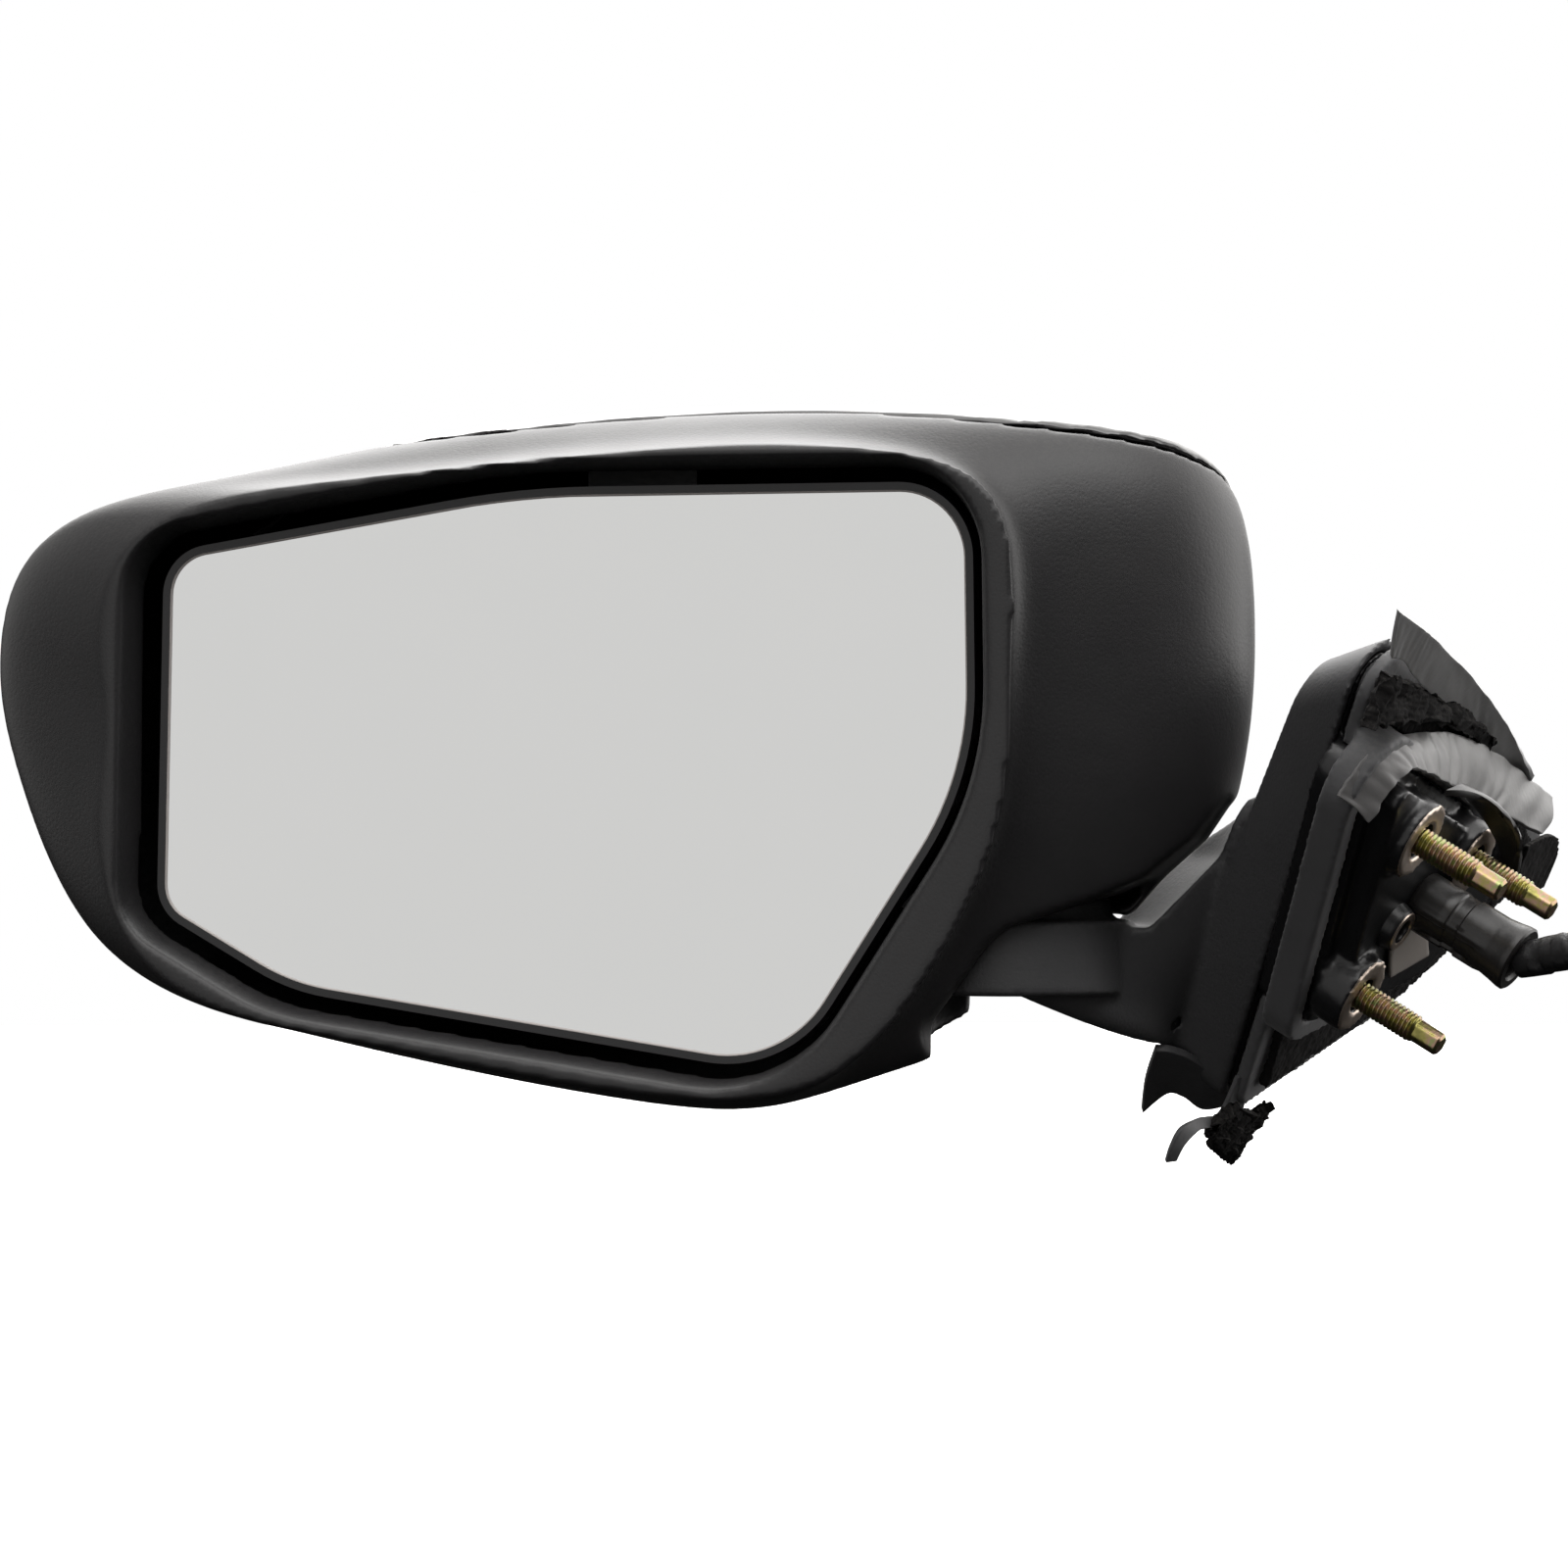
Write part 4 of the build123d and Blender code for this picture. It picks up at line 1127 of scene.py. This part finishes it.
@dataclass
class GlassPack:
    """Mirror glass, its bead, heater, holder and tilting gear."""

    frame: dict
    bead_radius: float = 0.42

    def build_bead(self, shop: Paintshop) -> None:
        """Run the light bead round the glass's front edge.

        Args:
            shop: the paint shop.
        """
        source = self.frame["nodes"]["mirror_glass"]
        bead = bpy.data.objects.new("glass_bead", source.data.copy())
        bpy.context.scene.collection.objects.link(bead)
        tidy_mesh(bead, 1e-6, outward=False)
        front = min(v.co.y for v in bead.data.vertices)
        pick(bead)
        bpy.ops.object.mode_set(mode="EDIT")
        bpy.ops.mesh.select_all(action="SELECT")
        bpy.ops.mesh.dissolve_limited(angle_limit=math.radians(1.0))
        bpy.ops.mesh.select_mode(type="FACE")
        bpy.ops.mesh.select_all(action="DESELECT")
        bpy.ops.object.mode_set(mode="OBJECT")
        for face in bead.data.polygons:
            on_front = all(abs(bead.data.vertices[i].co.y - front) < 1e-5 for i in face.vertices)
            face.select = not on_front
        bpy.ops.object.mode_set(mode="EDIT")
        bpy.ops.mesh.delete(type="FACE")
        bpy.ops.mesh.select_all(action="SELECT")
        bpy.ops.mesh.delete(type="ONLY_FACE")
        bpy.ops.object.mode_set(mode="OBJECT")
        bpy.ops.object.convert(target="CURVE")
        line = bpy.context.object
        line.data.bevel_depth = self.bead_radius * MM
        line.data.bevel_resolution = 3
        bpy.ops.object.convert(target="MESH")
        bead = bpy.context.object
        bead.name = "glass_bead"
        smooth_shade(bead)
        shop.coat(bead, BEAD)
        send_out(bead, Body.HOLDER)

    def build(self, shop: Paintshop) -> None:
        """Build the bead and dress the glass and its gear.

        Args:
            shop: the paint shop.
        """
        nodes = self.frame["nodes"]
        self.build_bead(shop)
        finishes = {
            "mirror_glass": MIRROR, "heater_pad": PAD, "glass_holder": HOLDER, "tilt_ring": NATURAL,
            "jackscrew_side": NATURAL, "jackscrew_low": NATURAL, "nut_gear_side": NYLON, "nut_gear_low": NYLON,
            "worm_side": STEEL, "worm_low": STEEL,
        }
        for name, finish in finishes.items():
            shop.coat(nodes[name], finish)


@dataclass
class ArmAndFoot:
    """Arm cover, casting under it, fold bearing and studs."""

    frame: dict
    stud_circle: float = 46.0
    stud_start: float = 142.4
    stud_radius: float = 3.0
    thread_depth: float = 0.42
    thread_pitch: float = 1.0
    thread_end: float = 13.6
    tip_end: float = 19.6
    buried: float = 1.0
    tip_radius: float = 2.5
    tip_flat: float = 2.303
    hook_thick: float = 1.8
    hood_thick: float = 1.4
    plate_thick: float = 0.8
    arm_voxel: float = 0.9
    casting_voxel: float = 0.85
    empty_boss_at: Pair = (0.5, -7.5)

    def build_arm(self, shop: Paintshop) -> None:
        """Mould the arm cover and its hooked lower lip.

        Args:
            shop: the paint shop.
        """
        arm = moulded_copy(self.frame["nodes"]["arm_cover"], "arm_shell", self.arm_voxel, 4)
        shop.coat(arm, MATTE)
        send_out(arm, Body.BASE, ["arm_cover"])
        rails = [
            [on_door(-2.3, -55.6, 34.4), on_door(-0.4, -54.5, 31.9), on_door(3.6, -54.5, 28.6),
             on_door(9.6, -56.2, 25.3), on_door(16.3, -58.3, 22.4)],
            [on_door(6.0, -64.4, 35.8), on_door(7.5, -61.2, 32), on_door(11.3, -61.0, 28.6),
             on_door(15.5, -61.8, 25.4), on_door(19.6, -60.6, 22.4)],
            [on_door(14.7, -72.7, 36), on_door(12.8, -65.8, 32.7), on_door(15.6, -65.0, 29.8),
             on_door(20.5, -66.2, 26.4), on_door(22.0, -62.9, 22.4)],
        ]
        lip = ribbon("arm_hook", rails, self.hook_thick, 12, 28)
        shop.coat(lip, MATTE)
        send_out(lip, Body.BASE)

    def build_casting(self, shop: Paintshop) -> None:
        """Soften the casting's corners.

        Args:
            shop: the paint shop.
        """
        casting = moulded_copy(self.frame["nodes"]["base_casting"], "base_casting_shell", self.casting_voxel, 2)
        shop.coat(casting, CASTING)
        send_out(casting, Body.BASE, ["base_casting"])

    def stud_skin(self, along: float, up: float) -> Callable[[float, float], Vector]:
        """Give the rule of one stud's threaded surface.

        Args:
            along: the stud's place along the door.
            up: its place up the door.

        Returns:
            The surface rule for shaped_grid.
        """

        def skin(u: float, v: float) -> Vector:
            """Give a point of the stud.

            Args:
                u: fraction round.
                v: fraction along.

            Returns:
                The point in metres.
            """
            rise = -self.buried + v * (self.tip_end + self.buried)
            angle = u * math.tau
            if rise < self.thread_end:
                turn = (rise / self.thread_pitch - u) % 1.0
                ridge = 1.0 - abs(turn - 0.5) * 2.0
                fade = min(1.0, max(0.0, (self.thread_end - rise) / 0.8))
                radius = self.stud_radius - self.thread_depth * (1.0 - min(1.0, ridge * 1.35)) * fade - 0.5 * (1 - fade)
            else:
                flat = math.pi / 3
                swing = (angle + flat / 2) % flat - flat / 2
                radius = min(self.tip_flat / math.cos(swing), self.tip_radius)
                radius -= 0.5 * max(0.0, (rise - self.tip_end + 0.6) / 0.6)
            return (
                on_door(along, up, -rise)
                + (ALONG_DOOR * math.cos(angle) + UP_DOOR * math.sin(angle)) * radius * MM
            )

        return skin

    def build_studs(self, shop: Paintshop) -> None:
        """Cut the three threaded studs.

        Args:
            shop: the paint shop.
        """
        ring = self.stud_circle / 2
        studs = []
        for step in range(3):
            angle = math.radians(self.stud_start + 120.0 * step)
            skin = self.stud_skin(ring * math.cos(angle), ring * math.sin(angle))
            studs.append(shaped_grid(f"stud_{step}", 36, 165, skin, closed=True, capped=True))
        joined = join_pieces(studs[0], studs[1:])
        joined.name = "threaded_studs"
        shop.coat(joined, ZINC)
        send_out(joined, Body.BASE, ["mount_studs"])

    def build_foot_fittings(self, shop: Paintshop) -> None:
        """Set the hood, the plate and the empty boss between the studs.

        Args:
            shop: the paint shop.
        """
        hood_rails = [
            [on_door(-12, 24, 3), on_door(-2, 25, -1), on_door(14, 21, -5), on_door(27, 14, -6)],
            [on_door(-4, 25.5, 3), on_door(6, 24, -2), on_door(20, 18, -6), on_door(31, 8, -6)],
            [on_door(4, 23, 3), on_door(14, 19, 0), on_door(28, 12, -2), on_door(36, 2, -2)],
        ]
        hood = ribbon("stud_hood", hood_rails, self.hood_thick, 12, 30)
        shop.coat(hood, COLLAR)
        send_out(hood, Body.BASE)
        plate_rails = [
            [on_door(0, -8, 2.2), on_door(6, -14, 2.2), on_door(14, -20, 2.2)],
            [on_door(14, -2, 2.2), on_door(22, -9, 2.2), on_door(31, -15, 2.2)],
        ]
        plate = ribbon("bare_plate_strip", plate_rails, self.plate_thick, 8, 12)
        shop.coat(plate, PLATE)
        send_out(plate, Body.BASE)
        across, up = self.empty_boss_at

        def skin(u: float, v: float) -> Vector:
            """Give a point of the empty boss's wall, outside and then down its bore.

            Args:
                u: fraction round.
                v: fraction along the profile.

            Returns:
                The point in metres.
            """
            profile = [(5.4, 3.2), (4.6, 0.6), (4.2, 0.1), (3.0, 0.1), (2.6, 0.6), (2.5, 3.0)]
            spot = v * (len(profile) - 1)
            first = min(int(spot), len(profile) - 2)
            t = spot - first
            radius = profile[first][0] * (1 - t) + profile[first + 1][0] * t
            depth = profile[first][1] * (1 - t) + profile[first + 1][1] * t
            angle = u * math.tau
            return on_door(across + radius * math.cos(angle), up + radius * math.sin(angle), depth)

        boss = shaped_grid("empty_boss", 40, 20, skin, closed=True, capped=False)
        shop.coat(boss, CASTING)
        send_out(boss, Body.BASE)

    def build(self, shop: Paintshop) -> None:
        """Build the arm, the casting and the studs, and dress the bearing.

        Args:
            shop: the paint shop.
        """
        self.build_arm(shop)
        self.build_casting(shop)
        self.build_studs(shop)
        self.build_foot_fittings(shop)
        nodes = self.frame["nodes"]
        for name, finish in {
            "fold_post": STEEL, "detent_ring": STEEL, "fold_spring": SPRING, "spring_washer": STEEL,
            "post_clip": STEEL,
        }.items():
            shop.coat(nodes[name], finish)


@dataclass
class Seals:
    """Gasket, foam, skirt and flap at the foot."""

    frame: dict
    gasket_voxel: float = 0.8
    foam_voxel: float = 0.7
    hook_thick: float = 1.1
    skirt_thick: float = 1.1
    flap_thick: float = 0.9
    tip_thick: float = 1.2
    tuft_thick: float = 2.6

    def build_gasket(self, shop: Paintshop) -> None:
        """Round the gasket and add its hooked lip.

        Args:
            shop: the paint shop.
        """
        gasket = moulded_copy(self.frame["nodes"]["gasket"], "gasket_lip", self.gasket_voxel, 3)
        shop.coat(gasket, RUBBER)
        send_out(gasket, Body.BASE, ["gasket"])
        rails = [
            [on_door(7.7, -53.7, 19), on_door(9.6, -62.7, 19), on_door(-0.7, -63.4, 19),
             on_door(-8.8, -65.3, 19), on_door(-9.5, -69.6, 19), on_door(-7.6, -73.7, 19)],
            [on_door(11.4, -53.5, 17.5), on_door(17.4, -63.9, 17.5), on_door(5.5, -65.2, 17.5),
             on_door(-2.8, -65.7, 17.5), on_door(-6.5, -68.8, 17.5), on_door(-6.1, -72.6, 17.5)],
        ]
        lip = ribbon("gasket_hook", rails, self.hook_thick, 6, 40)
        shop.coat(lip, RUBBER)
        send_out(lip, Body.BASE)

    def build_foam(self, shop: Paintshop) -> None:
        """Roughen the foam's open cells.

        Args:
            shop: the paint shop.
        """
        foam = moulded_copy(self.frame["nodes"]["foam_seal"], "foam_strip", self.foam_voxel, 1)
        for vertex in foam.data.vertices:
            spot = vertex.co
            lift = noise.noise(spot * 900.0) * 0.35 + noise.noise(spot * 300.0) * 0.4
            vertex.co = spot + vertex.normal * (lift - 0.2) * MM
        shop.coat(foam, FOAM)
        send_out(foam, Body.BASE, ["foam_seal"])
        tufts = {
            "foam_tuft_low": [
                [on_door(8, -60, 16.5), on_door(4, -62.5, 16.5), on_door(4, -66, 16.5), on_door(9, -68.5, 16.5)],
                [on_door(17, -61.5, 15), on_door(12.5, -65, 15), on_door(11.5, -68.5, 15), on_door(15, -71, 15)],
                [on_door(21, -58.5, 14.2), on_door(19.5, -63, 14.2), on_door(17, -67.5, 14.2),
                 on_door(17, -71.5, 14.2)],
            ],
            "foam_tuft_high": [
                [on_door(-50, 45, 13.6), on_door(-30, 42, 13.6), on_door(0, 38, 13.6), on_door(30, 30, 13.6)],
                [on_door(-52, 34, 11.5), on_door(-34, 36, 11.0), on_door(0, 35.5, 11.0), on_door(30, 30.5, 11.5)],
            ],
        }
        for name, rails in tufts.items():
            tuft = ribbon(name, rails, self.tuft_thick, 30, 60, crease=1.3, seed=5.0)
            for vertex in tuft.data.vertices:
                ragged = noise.noise(vertex.co * 1200.0) * 0.5 + noise.noise(vertex.co * 420.0) * 0.7
                vertex.co = vertex.co + vertex.normal * ragged * MM
            shop.coat(tuft, FOAM)
            send_out(tuft, Body.BASE)

    def build_skirt(self, shop: Paintshop) -> None:
        """Bend the wrinkled skirt over the pedestal's top.

        Args:
            shop: the paint shop.
        """
        rails = [
            [on_door(-45, 18, 12), on_door(-43, 25, 12), on_door(-38, 30, 12), on_door(-27, 31.8, 12),
             on_door(-11, 32.9, 12), on_door(4, 32.5, 12), on_door(33, 28.8, 12), on_door(60, 23.3, 12),
             on_door(88, 17.4, 12)],
            [on_door(-42, 17, 8), on_door(-40, 25, 8), on_door(-34, 29.5, 8), on_door(-25, 30.6, 8),
             on_door(-10, 29.8, 8), on_door(4, 28.2, 8), on_door(28, 24.2, 8), on_door(50, 20.5, 8),
             on_door(82, 14.4, 8)],
            [on_door(-40, 16, 5), on_door(-38, 24, 5), on_door(-32, 28.2, 5), on_door(-23, 27.4, 5),
             on_door(-10, 25.5, 5), on_door(2, 22.8, 5), on_door(20, 19.3, 5), on_door(38, 17.4, 5),
             on_door(72, 12.4, 5)],
        ]
        skirt = ribbon("seal_skirt_soft", rails, self.skirt_thick, 12, 150, crease=0.65, seed=3.0)
        shop.coat(skirt, SOFT_RUBBER)
        send_out(skirt, Body.BASE, ["seal_skirt"])

    def build_flap(self, shop: Paintshop) -> None:
        """Stand the flap along the upper edge, light grey and brightened by a painted highlight, with the dark tip
        below its end.

        Args:
            shop: the paint shop.
        """
        rails = [
            [on_door(-51.4, 48.7, 14), on_door(-43.4, 48, 14), on_door(-25, 42.7, 14), on_door(18.2, 33.5, 14),
             on_door(43.6, 26.7, 14), on_door(76, 20.1, 14)],
            [on_door(-70.6, 60.4, 11), on_door(-52, 57.0, 11), on_door(-38.5, 54.1, 11), on_door(-4, 45.7, 11),
             on_door(31.5, 35.3, 11), on_door(66, 23.0, 11)],
        ]
        tip_rails = [
            [on_door(79.0, 7.0, 9), on_door(88.5, 9.6, 9), on_door(96.5, 9.0, 9), on_door(102.0, 5.2, 9)],
            [on_door(79.0, 1.0, 8), on_door(88.0, -1.5, 8), on_door(95.0, -4.0, 8), on_door(102.5, -2.8, 8)],
        ]
        tip = ribbon("seal_tip", tip_rails, self.tip_thick, 10, 24, crease=0.5, seed=6.0)
        shop.coat(tip, FOAM)
        send_out(tip, Body.BASE)
        flap = ribbon("seal_flap_sheet", rails, self.flap_thick, 10, 90, crease=0.25, seed=8.0)
        # The flap's finish has a painted highlight in its raised grey tone.
        shop.coat(flap, FLAP_GREY_AND_PAINTED_HIGHLIGHT)
        send_out(flap, Body.BASE, ["seal_flap"])

    def build(self, shop: Paintshop) -> None:
        """Build the seals.

        Args:
            shop: the paint shop.
        """
        self.build_gasket(shop)
        self.build_foam(shop)
        self.build_skirt(shop)
        self.build_flap(shop)


def main() -> None:
    """Build the studio and the mirror in order."""
    logging.basicConfig(level=logging.INFO, format="%(message)s")
    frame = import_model()
    clear_selection()
    Studio().build()
    shop = Paintshop()
    Wiring().build(shop)
    for part in (Head(frame), GlassPack(frame), ArmAndFoot(frame), Seals(frame)):
        part.build(shop)
        LOG.info("%s done", type(part).__name__)


if __name__ == "__main__":
    main()
